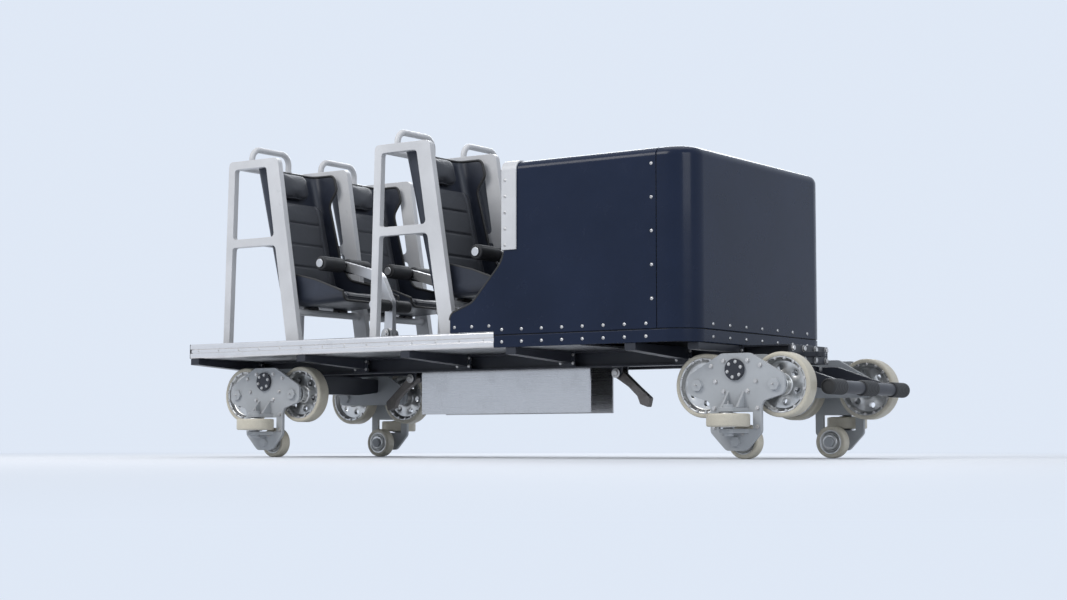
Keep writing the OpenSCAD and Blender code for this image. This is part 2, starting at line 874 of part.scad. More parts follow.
// Welded frame of one row: three sides, the tubes between them and a hoop for each seat
module seat_frame(x) {
  y0 = frame_t / 2 + seat_gap;
  y1 = frame_y - y0;
  color("lightgray") translate([x, 0, floor_z]) {
    for (y = [-frame_y, 0, frame_y])
      translate([0, y, 0]) frame_side();
    for (side = [1, -1])
      on_side(side) {
        bar_y(hoop_x, frame_h - rail_h / 2, cross_tube_r, y0, y1);
        bar_y(mid_tube_x, mid_rail_z, cross_tube_r, y0, y1);
        bar_y(low_tube[0], low_tube[1], cross_tube_r, y0, y1);
        hoop(seat_y);
      }
  }
}

// Point on the pan at x, off it by up
function on_pan(x, up) =
  let (slope = (pan_end[1] - hip[1]) / (pan_end[0] - hip[0]))
  [x, hip[1] + (x - hip[0]) * slope + up];

// Point on the back at height z, off it by out
function on_back(z, out) =
  let (lean = (back_end[0] - hip[0]) / (back_end[1] - hip[1]))
  [hip[0] + (z - hip[1]) * lean + out, z];

// Row of an outline from a point and its corner radius
function pad_row(p, r) = [p[0], p[1], r];

// Seat shells of one row: moulded buckets with wings at the hips and the head
module seat_shells(x) {
  outer = [
    [pan_len, 275, 10],
    [pan_len, 330, 20],
    [pan_len - 190, 400, 80],
    [130, 440, 70],
    [60, 560, 80],
    [-25, wing_foot, 60],
    [30, wing_foot + 80, 40],
    [5, back_h, 30],
    [-168, back_h, 10],
    [28, 246, 85],
  ];
  inside = [pad_row(pan_end, 0), pad_row(hip, 70), pad_row(back_end, 0), [pan_end[0], back_end[1], 0]];
  color("midnightblue") translate([x, 0, floor_z])
    for (y = [-seat_y, seat_y])
      translate([0, y, 0]) difference() {
        side_piece(outer, -seat_w / 2, seat_w / 2);
        side_piece(inside, shell_t - seat_w / 2, seat_w / 2 - shell_t);
      }
}

// Cushions of one row: seat, back and head pad in each bucket
module seat_pads(x) {
  pad_w = seat_w - 2 * shell_t - 16;
  head_w = 250;
  color("black") translate([x, 0, floor_z])
    for (y = [-seat_y, seat_y])
      translate([0, y, 0]) {
        side_piece([
          pad_row(on_pan(95, seat_gap), 10),
          pad_row(on_pan(pan_len - 22, seat_gap), 15),
          pad_row(on_pan(pan_len - 22, pad_t), 25),
          pad_row(on_pan(105, pad_t + 4), 20),
        ], -pad_w / 2, pad_w / 2);
        side_piece([
          pad_row(on_back(352, seat_gap), 10),
          pad_row(on_back(366, pad_t), 20),
          pad_row(on_back(head_foot - 13, pad_t), 20),
          pad_row(on_back(head_foot - 25, seat_gap), 10),
        ], -pad_w / 2, pad_w / 2);
        side_piece([
          pad_row(on_back(head_foot, seat_gap), 10),
          pad_row(on_back(head_foot + 10, pad_t), 20),
          pad_row(on_back(back_h - 10, pad_t), 20),
          pad_row(on_back(back_h - 15, seat_gap), 10),
        ], -head_w / 2, head_w / 2);
      }
}

// Lap bar: post on the floor pin, shin bar half way up and the bar over the thighs at its top
module lap_bar(x, y) {
  color("silver") translate([x, y, floor_z + bar_z]) difference() {
    union() {
      bar_y(0, 0, 30, -post_t / 2, post_t / 2);
      side_piece([
        [30, 0, 0],
        [30, 170, 70],
        [-50, 335, 90],
        [-330, 412, 15],
        [-345, 366, 15],
        [-105, 290, 80],
        [-22, 140, 60],
        [-30, 0, 0],
      ], 2 - post_t / 2, post_t / 2 - 2);
      bar_y(bar_x, bar_top, bar_r, -bar_w / 2, bar_w / 2);
      bar_y(shin_x, shin_z, shin_r, -shin_w / 2, shin_w / 2);
      for (side = [1, -1])
        on_side(side) {
          bar_y(bar_x, bar_top, bar_r + 6, bar_w / 2, bar_w / 2 + 8);
          bar_y(shin_x, shin_z, shin_r + 6, shin_w / 2, shin_w / 2 + 8);
        }
    }
    bar_y(0, 0, bar_pin_r + pin_gap, -post_t, post_t);
  }
}

// Foam round the two bars, in halves beside the post
module lap_foam(x, y) {
  color("black") translate([x, y, floor_z + bar_z])
    for (side = [1, -1])
      on_side(side) {
        foam(bar_x, bar_top, bar_r, foam_r, bar_w / 2);
        foam(shin_x, shin_z, shin_r, foam_r - 8, shin_w / 2);
      }
}

// One sleeve of foam between the post and the bar's end
module foam(x, z, tube_r, r, end_y) {
  difference() {
    bar_y(x, z, r, post_t / 2 + 2, end_y - seat_gap);
    bar_y(x, z, tube_r + seat_gap, 0, end_y + 1);
  }
}

chassis_frame();
cross_members();
rear_axle();
front_axle();
front_bumper();
floor_pan();
sills();
brake_fins();
rear_hitch();
nose_cowl();
nose_trim();
nose_bulkhead();
for (c = CORNERS) {
  carrier(c[1], c[2]);
  guide_wheel(c[1], c[2]);
  upstop_wheel(c[1], c[2]);
  for (t = TANDEM)
    road_wheel(c[1] + t[1] * road_pitch / 2, c[2]);
}
for (r = ROWS) {
  seat_frame(r[1]);
  seat_shells(r[1]);
  seat_pads(r[1]);
}
for (s = SEATS) {
  lap_bar(s[1] + bar_reach, s[2]);
  lap_foam(s[1] + bar_reach, s[2]);
}
for (d = DOGS)
  dog(d[1], d[2]);
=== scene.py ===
import json
import math
import random

import bmesh
import bpy
from mathutils import Matrix, Vector
from mathutils.bvhtree import BVHTree

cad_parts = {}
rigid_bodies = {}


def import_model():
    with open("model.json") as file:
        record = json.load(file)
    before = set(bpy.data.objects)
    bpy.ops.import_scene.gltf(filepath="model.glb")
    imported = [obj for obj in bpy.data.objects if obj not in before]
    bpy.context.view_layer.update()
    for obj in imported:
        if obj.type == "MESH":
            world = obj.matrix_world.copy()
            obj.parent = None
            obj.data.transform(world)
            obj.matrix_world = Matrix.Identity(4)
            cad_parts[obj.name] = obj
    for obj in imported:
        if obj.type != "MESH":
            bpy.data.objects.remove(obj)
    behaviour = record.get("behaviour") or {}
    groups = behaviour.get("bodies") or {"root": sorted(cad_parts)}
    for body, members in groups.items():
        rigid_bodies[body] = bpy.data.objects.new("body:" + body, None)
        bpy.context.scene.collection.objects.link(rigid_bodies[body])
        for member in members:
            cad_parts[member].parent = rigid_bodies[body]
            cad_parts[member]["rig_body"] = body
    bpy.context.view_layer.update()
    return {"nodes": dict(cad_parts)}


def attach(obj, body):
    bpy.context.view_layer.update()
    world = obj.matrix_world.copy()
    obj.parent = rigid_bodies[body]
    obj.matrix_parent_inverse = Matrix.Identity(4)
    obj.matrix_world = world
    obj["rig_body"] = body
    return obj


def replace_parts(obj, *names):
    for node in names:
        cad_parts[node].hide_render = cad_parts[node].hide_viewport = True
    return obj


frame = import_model()
nodes = frame["nodes"]
print("frame loaded:", len(nodes), "nodes")

# Places shared by several pieces, in metres and the car's frame
car = {
    "rearRow": -1.330,
    "frontRow": -0.280,
    "face": 1.390,
    "rearAxle": -1.380,
    "frontAxle": 1.540,
    "side": 0.700,
    "under": 0.540,
    "floor": 0.552,
    "seatY": 0.290,
    "frameY": 0.575,
    "treadY": 0.450,
    "roadZ": 0.340,
    "upstopZ": 0.080,
    "guideY": 0.616,
    "guideZ": 0.177,
    "spindleZ": 0.410,
    "memberX": [-1.765, -0.985, -0.280, 0.380, 1.065, 1.350],
}
sides = (1, -1)  # left, right
quarters = [(end, word, side) for end in ("front", "rear") for word, side in (("left", 1), ("right", -1))]
cornerList = [(f"{end}_{word}", car[end + "Axle"], side) for end, word, side in quarters]
seatList = [(f"{end}_{word}", car[end + "Row"], side * car["seatY"]) for end, word, side in quarters]
rowList = [(end, car[end + "Row"]) for end in ("front", "rear")]


# Sets a node's inputs: plain values directly, other nodes' outputs as links
def feed(tree, made, inputs):
    for key, value in inputs.items():
        if isinstance(value, bpy.types.NodeSocket):
            tree.links.new(value, made.inputs[key])
        else:
            made.inputs[key].default_value = value


def addNode(tree, kind, inputs):
    made = tree.nodes.new("ShaderNode" + kind)
    feed(tree, made, inputs)
    return made


def objectCoords(tree, scale=(1, 1, 1)):
    coords = addNode(tree, "TexCoord", {}).outputs["Object"]
    return addNode(tree, "Mapping", {"Vector": coords, "Scale": scale}).outputs["Vector"]


def noiseValue(tree, vector, scale, detail, rough=0.55):
    inputs = {"Vector": vector, "Scale": scale, "Detail": detail, "Roughness": rough}
    return addNode(tree, "TexNoise", inputs).outputs["Fac"]


def remap(tree, value, low, high, toLow=0.0, toHigh=1.0):
    inputs = {"Value": value, "From Min": low, "From Max": high, "To Min": toLow, "To Max": toHigh}
    return addNode(tree, "MapRange", inputs).outputs["Result"]


def mathNode(tree, operation, a, b):
    made = addNode(tree, "Math", {0: a, 1: b})
    made.operation = operation
    return made.outputs[0]


def times(tree, a, b):
    return mathNode(tree, "MULTIPLY", a, b)


def mixColor(tree, factor, a, b):
    made = tree.nodes.new("ShaderNodeMix")
    made.data_type = "RGBA"
    a, b = [c if isinstance(c, bpy.types.NodeSocket) else (*c, 1) for c in (a, b)]
    feed(tree, made, {"Factor": factor, 6: a, 7: b})  # its colour sockets have no names of their own
    return made.outputs[2]


def mixValue(tree, factor, a, b):
    return addNode(tree, "Mix", {"Factor": factor, 2: a, 3: b}).outputs[0]


def addBump(tree, height, strength, distance, under=None):
    made = addNode(tree, "Bump", {"Height": height, "Strength": strength, "Distance": distance})
    if under is not None:
        tree.links.new(under, made.inputs["Normal"])
    return made.outputs["Normal"]


def startMaterial(name, fixed):
    made = bpy.data.materials.new(name)
    made.use_nodes = True
    tree = made.node_tree
    shader = tree.nodes["Principled BSDF"]
    feed(tree, shader, fixed)
    return made, tree, shader


def tint(color, factor, plus=0.0):
    return [min(1.0, c * factor + plus) for c in color]


# Share of worn paint along edges: where a rounded normal leaves the true one
def edgeWear(tree, radius, spread):
    bevel = addNode(tree, "Bevel", {"Radius": radius})
    bevel.samples = 6
    flat = addNode(tree, "NewGeometry", {}).outputs["Normal"]
    dot = addNode(tree, "VectorMath", {0: bevel.outputs["Normal"], 1: flat})
    dot.operation = "DOT_PRODUCT"
    edge = remap(tree, dot.outputs["Value"], 0.985, 0.80)
    chips = noiseValue(tree, objectCoords(tree), 38.0, 6.0, 0.65)
    return times(tree, edge, remap(tree, chips, spread, spread + 0.05))


# Share of dust that settles on faces that look up
def dustMask(tree, amount):
    normal = addNode(tree, "NewGeometry", {}).outputs["Normal"]
    up = remap(tree, addNode(tree, "SeparateXYZ", {"Vector": normal}).outputs["Z"], 0.35, 1.0)
    cloud = remap(tree, noiseValue(tree, objectCoords(tree), 7.0, 5.0, 0.6), 0.35, 0.75, 0.25, 1.0)
    return times(tree, times(tree, up, cloud), amount)


# Paint with clouds, specks, worn edges, dust and a faint orange peel
def paintMaterial(name, color, rough, wornColor, wear, dust, coat=0.0, peel=0.05, shine=0.32):
    fixed = {"Coat Weight": coat, "Coat Roughness": 0.08, "Specular IOR Level": shine}
    made, tree, shader = startMaterial(name, fixed)
    vector = objectCoords(tree)
    cloud = remap(tree, noiseValue(tree, vector, 2.3, 4.0), 0.3, 0.7)
    tone = mixColor(tree, cloud, tint(color, 0.86), tint(color, 1.10, 0.002))
    speck = remap(tree, noiseValue(tree, vector, 260.0, 2.0), 0.62, 0.72)
    tone = mixColor(tree, times(tree, speck, 0.25), tone, tint(color, 0.6, 0.02))
    worn = edgeWear(tree, 0.0035, wear)
    tone = mixColor(tree, worn, tone, wornColor)
    smear = remap(tree, noiseValue(tree, vector, 14.0, 5.0), 0.3, 0.75, rough * 0.82, rough * 1.25)
    grain = addBump(tree, noiseValue(tree, vector, 420.0, 1.0), peel, 0.0006)
    ripple = noiseValue(tree, vector, 22.0, 2.0)
    feed(tree, shader, {
        "Base Color": mixColor(tree, dustMask(tree, dust), tone, (0.30, 0.28, 0.25)),
        "Metallic": times(tree, worn, 0.8),
        "Roughness": mixValue(tree, worn, smear, 0.42),
        "Normal": addBump(tree, ripple, peel * 0.6, 0.002, grain),
    })
    return made


# Bare metal with fine lines; the scales of its noise say along which axis they run
def brushedMaterial(name, color, rough, scales, strength, grime):
    made, tree, shader = startMaterial(name, {"Metallic": 1.0})
    hair = noiseValue(tree, objectCoords(tree, scales), 1.0, 2.0, 0.7)
    cloud = noiseValue(tree, objectCoords(tree), 9.0, 5.0, 0.6)
    stain = times(tree, remap(tree, cloud, 0.50, 0.80), grime)
    tone = mixColor(tree, hair, tint(color, 0.88), tint(color, 1.08))
    base = remap(tree, hair, 0.2, 0.8, rough * 0.75, rough * 1.3)
    feed(tree, shader, {
        "Base Color": mixColor(tree, stain, tone, tint(color, 0.45)),
        "Roughness": mixValue(tree, stain, base, min(0.9, rough * 2.0)),
        "Normal": addBump(tree, hair, strength, 0.0004),
    })
    return made


# Metal off the lathe: its rings follow the "ring" attribute, the distance from the wheel's axis
def turnedMaterial(name, color, rough):
    made, tree, shader = startMaterial(name, {"Metallic": 1.0})
    distance = tree.nodes.new("ShaderNodeAttribute")
    distance.attribute_name = "ring"
    lines = tree.nodes.new("ShaderNodeTexNoise")
    lines.noise_dimensions = "1D"
    feed(tree, lines, {"W": distance.outputs["Fac"], "Scale": 900.0, "Detail": 3.0})
    rings = lines.outputs["Fac"]
    dirt = remap(tree, noiseValue(tree, objectCoords(tree), 24.0, 5.0, 0.62), 0.48, 0.78, 0.0, 0.55)
    tone = mixColor(tree, rings, tint(color, 0.86), color)
    feed(tree, shader, {
        "Base Color": mixColor(tree, dirt, tone, tint(color, 0.42)),
        "Roughness": mixValue(tree, dirt, rough, min(0.85, rough * 2.1)),
        "Normal": addBump(tree, rings, 0.12, 0.0003),
    })
    return made


# Skin with a fine grain: vinyl, foam, moulded plastic or rubber, by its numbers
def softMaterial(name, color, rough, cells, strength, depth, sheen=0.0, scuff=None):
    made, tree, shader = startMaterial(name, {"Sheen Weight": sheen, "Sheen Roughness": 0.4})
    vector = objectCoords(tree)
    voronoi = tree.nodes.new("ShaderNodeTexVoronoi")
    voronoi.feature = "SMOOTH_F1"
    feed(tree, voronoi, {"Vector": vector, "Scale": cells, "Randomness": 0.9})
    grain = voronoi.outputs["Distance"]
    cloud = remap(tree, noiseValue(tree, vector, 5.0, 4.0), 0.3, 0.7)
    tone = mixColor(tree, cloud, tint(color, 0.85), tint(color, 1.18))
    tone = mixColor(tree, times(tree, grain, 0.5), tone, tint(color, 0.6))
    rub = remap(tree, noiseValue(tree, vector, 11.0, 6.0, 0.68), 0.54, 0.80)
    coarse = addBump(tree, grain, strength, depth)
    fine = noiseValue(tree, vector, cells * 2.4, 2.0)
    feed(tree, shader, {
        "Base Color": mixColor(tree, times(tree, rub, 0.35), tone, scuff or tint(color, 1.9, 0.012)),
        "Roughness": mixValue(tree, rub, rough, min(0.95, rough * 1.35)),
        "Normal": addBump(tree, fine, strength * 0.5, depth * 0.5, coarse),
    })
    return made


recipes = {
    "chassis_paint": (paintMaterial, (0.030, 0.033, 0.043), 0.34, (0.30, 0.29, 0.28), 0.56, 0.20),
    "carrier_paint": (paintMaterial, (0.42, 0.44, 0.46), 0.42, (0.16, 0.14, 0.13), 0.55, 0.25),
    "frame_paint": (paintMaterial, (0.62, 0.63, 0.65), 0.32, (0.34, 0.33, 0.32), 0.60, 0.12),
    "nose_paint": (paintMaterial, (0.006, 0.013, 0.036), 0.24, (0.20, 0.20, 0.21), 0.66, 0.015,
                   0.10, 0.004, 0.16),
    "seat_shell": (softMaterial, (0.020, 0.025, 0.040), 0.36, 900.0, 0.10, 0.0004),
    "vinyl": (softMaterial, (0.026, 0.029, 0.038), 0.46, 620.0, 0.35, 0.0009, 0.05),
    "foam": (softMaterial, (0.024, 0.025, 0.028), 0.66, 780.0, 0.30, 0.0008),
    "floor": (brushedMaterial, (0.42, 0.43, 0.44), 0.34, (30, 160, 160), 0.10, 0.65),
    "sill_metal": (brushedMaterial, (0.80, 0.78, 0.77), 0.24, (3, 900, 900), 0.08, 0.20),
    "fin_steel": (brushedMaterial, (0.56, 0.56, 0.57), 0.26, (2, 500, 700), 0.12, 0.14),
    "liner": (softMaterial, (0.050, 0.052, 0.058), 0.62, 420.0, 0.30, 0.0010),
    "wheel": (turnedMaterial, (0.66, 0.66, 0.65), 0.30),
    "tread": (softMaterial, (0.62, 0.58, 0.48), 0.44, 300.0, 0.10, 0.0005, 0.0, (0.26, 0.23, 0.19)),
    "bar_steel": (brushedMaterial, (0.62, 0.62, 0.63), 0.36, (160, 160, 160), 0.01, 0.10),
    "dog_steel": (brushedMaterial, (0.20, 0.185, 0.175), 0.44, (60, 60, 60), 0.35, 0.60),
    "fastener": (brushedMaterial, (0.56, 0.55, 0.54), 0.34, (260, 260, 260), 0.12, 0.45),
    "rubber_trim": (softMaterial, (0.020, 0.020, 0.021), 0.58, 500.0, 0.20, 0.0006),
}
materials = {slot: make(slot, *values) for slot, (make, *values) in recipes.items()}
print("materials made:", len(materials))


def templateMesh(bm, name="template"):
    mesh = bpy.data.meshes.new(name)
    bm.to_mesh(mesh)
    bm.free()
    return mesh


def finishPiece(name, bm, slot, body="car", sharp=38.0, weighted=True):
    for face in bm.faces:
        face.smooth = True
    mesh = templateMesh(bm, name)
    mesh.set_sharp_from_angle(angle=math.radians(sharp))
    mesh.materials.append(materials[slot])
    made = bpy.data.objects.new(name, mesh)
    bpy.context.scene.collection.objects.link(made)
    if weighted:
        made.modifiers.new("weightedNormals", "WEIGHTED_NORMAL").keep_sharp = True
    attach(made, body)
    return made


def bodyOf(node):
    return nodes[node]["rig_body"]


def vertsOf(geom):
    return [g for g in geom if isinstance(g, bmesh.types.BMVert)]


def bevelEdges(bm, edges, width, segments, clamp=False):
    bmesh.ops.bevel(bm, geom=edges, offset=width, offset_type="OFFSET", segments=segments, profile=0.5,
                    affect="EDGES", material=-1, clamp_overlap=clamp)


def freshNormals(bm):
    bmesh.ops.recalc_face_normals(bm, faces=bm.faces)


def pushOut(bm, faces, shift):
    raised = bmesh.ops.extrude_face_region(bm, geom=faces)["geom"]
    bmesh.ops.translate(bm, vec=shift, verts=vertsOf(raised))


# Takes the place of a CAD node: its own faces, merged, with broken edges
def dressNode(node, slot, width, segments=2):
    bm = bmesh.new()
    bm.from_mesh(nodes[node].data)
    bmesh.ops.remove_doubles(bm, verts=bm.verts, dist=1e-5)
    bmesh.ops.dissolve_limit(bm, angle_limit=math.radians(0.3), verts=bm.verts, edges=bm.edges)
    sharp = [e for e in bm.edges if len(e.link_faces) == 2 and e.calc_face_angle() > math.radians(38)]
    bevelEdges(bm, sharp, width, segments)
    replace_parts(finishPiece(node + "_finished", bm, slot, bodyOf(node)), node)


# Points and edges of an open line
def drawLine(bm, points):
    verts = [bm.verts.new(point) for point in points]
    return verts, [bm.edges.new(pair) for pair in zip(verts, verts[1:])]


# Revolves a half outline of (radius, height) points round Z; a closed one makes a ring
def turnedMesh(points, steps, closed=False):
    bm = bmesh.new()
    verts, edges = drawLine(bm, [(r, 0, z) for r, z in points])
    if closed:
        edges.append(bm.edges.new((verts[-1], verts[0])))
    bmesh.ops.spin(bm, geom=verts + edges, axis=(0, 0, 1), cent=(0, 0, 0), angle=math.tau, steps=steps,
                   use_merge=True, use_duplicate=False)
    bmesh.ops.remove_doubles(bm, verts=bm.verts, dist=1e-6)
    freshNormals(bm)
    return bm


# Turn that takes Z to the given direction, then a shift
def placeAt(place, direction=(0, 0, 1), turn=0.0):
    aim = Vector(direction).to_track_quat("Z", "Y").to_matrix().to_4x4()
    return Matrix.Translation(place) @ aim @ Matrix.Rotation(turn, 4, "Z")


# The same for a spot on the left or right that looks outward
def sideAt(x, y, z, side, turn=0.0):
    return placeAt((x, side * y, z), (0, side, 0), turn)


def addCopies(bm, template, places):
    for place in places:
        before = len(bm.verts)
        bm.from_mesh(template)
        bm.verts.ensure_lookup_table()
        bmesh.ops.transform(bm, matrix=place, verts=bm.verts[before:])


def addPart(bm, part, place=Matrix()):
    addCopies(bm, templateMesh(part), [place])


# A block with broken edges, given by its middle and size
def addBlock(bm, centre, size, edge, turn=Matrix()):
    part = bmesh.new()
    bmesh.ops.create_cube(part, size=1.0)
    bmesh.ops.scale(part, vec=size, verts=part.verts)
    bevelEdges(part, part.edges[:], edge, 2)
    addPart(bm, part, Matrix.Translation(centre) @ turn)


# Washer, hexagon head and domed end of one bolt, standing on Z = 0
def boltTemplate(size):
    washer, radius, height = size * 1.12, size * 0.92, size * 0.62
    bm = turnedMesh([(0, 0), (washer, 0), (washer, size * 0.16), (0, size * 0.16)], 18)
    head = bmesh.ops.create_cone(bm, cap_ends=True, segments=6, radius1=radius, radius2=radius,
                                 depth=height)["verts"]
    bmesh.ops.translate(bm, vec=(0, 0, size * 0.47), verts=head)
    top = [e for e in bm.edges if all(v in head and v.co.z > size * 0.7 for v in e.verts)]
    bevelEdges(bm, top, size * 0.09, 1)
    freshNormals(bm)
    return templateMesh(bm)


# Low button head with a round socket
def buttonTemplate(size):
    shape = [(0, 0.12), (0.36, 0.12), (0.40, 0.46), (0.62, 0.42), (0.88, 0.22), (1, 0), (0, 0)]
    return templateMesh(turnedMesh([(r * size, z * size) for r, z in shape], 16))


fasteners = {
    "m8": boltTemplate(0.0075),
    "m12": boltTemplate(0.0105),
    "m16": boltTemplate(0.0145),
    "small": buttonTemplate(0.0055),
    "large": buttonTemplate(0.0085),
    "nipple": templateMesh(turnedMesh([(0, 0), (0.0042, 0), (0.0042, 0.004), (0.0026, 0.005), (0.0026, 0.010),
                                       (0.0034, 0.011), (0.0030, 0.0145), (0, 0.0155)], 12)),
    "rivet": templateMesh(turnedMesh([(0, 0.0024), (0.0022, 0.0021), (0.0042, 0.0010), (0.0050, 0),
                                      (0, 0)], 10)),
}


# One piece made of copies of a mesh
def copiesPiece(name, template, places, slot, body="car", sharp=60.0):
    bm = bmesh.new()
    addCopies(bm, template, places)
    return finishPiece(name, bm, slot, body, sharp, False)


def boltField(name, kind, places, body="car"):
    copiesPiece(name, fasteners[kind], places, "fastener", body, 32.0)


# Rows of small beads along straight runs and rings
def weldField(name, paths, radius, seed, slot, body="car"):
    bead = bmesh.new()
    bmesh.ops.create_icosphere(bead, subdivisions=1, radius=radius)
    template = templateMesh(bead)
    draw = random.Random(seed)
    bm = bmesh.new()
    for path in paths:
        for a, b in zip(path, path[1:]):
            start, end = Vector(a), Vector(b)
            count = max(1, round((end - start).length / (radius * 1.15)))
            for i in range(count):
                place = Matrix.Translation(start.lerp(end, (i + 0.5) / count))
                size = Matrix.Scale(draw.uniform(0.88, 1.12), 4)
                addCopies(bm, template, [place @ size @ Matrix.Rotation(draw.uniform(0, 3), 4, "Y")])
    finishPiece(name, bm, slot, body, 60.0, False)


def circlePoints(radius, turns):
    return [(radius * math.cos(a), radius * math.sin(a)) for a in turns]


def ringPath(centre, axis, radius, steps):
    place = placeAt(centre, axis)
    turns = [math.tau * i / steps for i in range(steps + 1)]
    return [place @ Vector((x, y, 0)) for x, y in circlePoints(radius, turns)]


# Outline corners rounded as in the source: rows of (x, z, radius)
def roundedOutline(rows, stepAngle):
    points = []
    for i, (x, z, r) in enumerate(rows):
        here = Vector((x, z))
        if r == 0:
            points.append(here)
            continue
        u = (Vector(rows[i - 1][:2]) - here).normalized()
        v = (Vector(rows[(i + 1) % len(rows)][:2]) - here).normalized()
        half = u.angle(v) / 2
        middle = here + (u + v).normalized() * r / math.sin(half)
        first = here + u * r / math.tan(half) - middle
        last = here + v * r / math.tan(half) - middle
        turn = math.atan2(first.x * last.y - first.y * last.x, first.dot(last))
        count = max(2, round(abs(math.degrees(turn)) / stepAngle))
        start = math.atan2(first.y, first.x)
        turns = [start + turn * k / count for k in range(count + 1)]
        points += [middle + Vector(p) for p in circlePoints(r, turns)]
    return points


# Wheels: turned hub and rim, drilled web on the road wheels, moulded tread
wheelKinds = {
    "road": {"radius": 0.150, "tread": 0.076, "hub": 0.100, "pin": 0.020, "axis": (0, 1, 0)},
    "guide": {"radius": 0.100, "tread": 0.060, "hub": 0.068, "pin": 0.015, "axis": (0, 0, 1)},
    "upstop": {"radius": 0.080, "tread": 0.060, "hub": 0.070, "pin": 0.015, "axis": (0, 1, 0)},
    "treadDepth": 0.020,
    "treadEdge": 0.009,
    "web": 0.013,
    "holeRing": 0.080,
    "hole": 0.015,
    "holes": 6,
    "rimBolts": 16,
    "webScrews": 6,
}


def bothSides(half):
    return half + [(r, -z) for r, z in reversed(half)]


# The flat web between two radii: one sixth round its hole, then six of them
def drilledWeb(inner, outer):
    ring, hole, count, half = [wheelKinds[key] for key in ("holeRing", "hole", "holes", "web")]
    limit = math.pi / count
    centre = Vector((ring, 0, 0))
    bm = bmesh.new()
    circle = bmesh.ops.create_circle(bm, segments=36, radius=hole)["verts"]
    holeEdges = bm.edges[:]
    copied = bmesh.ops.duplicate(bm, geom=circle + holeEdges)["geom"]
    corners = [Vector((r * math.cos(limit), s * r * math.sin(limit), 0)) - centre
               for r in (inner, outer) for s in sides]
    for vert in vertsOf(copied):  # each point goes out to the edge of its sixth
        aim = vert.co.normalized()
        near = [c for c in corners if aim.angle(c) < math.radians(5.2)]
        reach = 0.002
        while not near:
            spot = centre + aim * reach
            if not inner < spot.length < outer or abs(math.atan2(spot.y, spot.x)) > limit:
                break
            reach += 0.0002
        vert.co = near[0] if near else aim * reach
    border = [g for g in copied if isinstance(g, bmesh.types.BMEdge)]
    bmesh.ops.bridge_loops(bm, edges=holeEdges + border)
    bmesh.ops.translate(bm, vec=(ring, 0, -half), verts=bm.verts)
    for vert in bm.verts:  # true arcs and sides, so that the sixths meet
        around = math.atan2(vert.co.y, vert.co.x)
        flat = math.hypot(vert.co.x, vert.co.y)
        if abs(abs(around) - limit) < 0.01:
            around = math.copysign(limit, around)
        for arc in (inner, outer):
            if abs(flat - arc) < 0.0012:
                flat = arc
        vert.co.x, vert.co.y = flat * math.cos(around), flat * math.sin(around)
    pushOut(bm, bm.faces[:], (0, 0, half * 2))
    cuts = [f for f in bm.faces if abs(f.normal.z) < 0.5
            and all(abs(abs(math.atan2(v.co.y, v.co.x)) - limit) < 1e-4 for v in f.verts)]
    bmesh.ops.delete(bm, geom=cuts, context="FACES")
    lips = [e for e in bm.edges if all(abs((v.co.xy - centre.xy).length - hole) < 1e-4 for v in e.verts)
            and abs(e.verts[0].co.z - e.verts[1].co.z) < 1e-6]
    bevelEdges(bm, lips, 0.002, 2)
    full = bmesh.new()
    addCopies(full, templateMesh(bm), [Matrix.Rotation(math.tau * i / count, 4, "Z") for i in range(count)])
    bmesh.ops.remove_doubles(full, verts=full.verts, dist=2e-5)
    freshNormals(full)
    return full


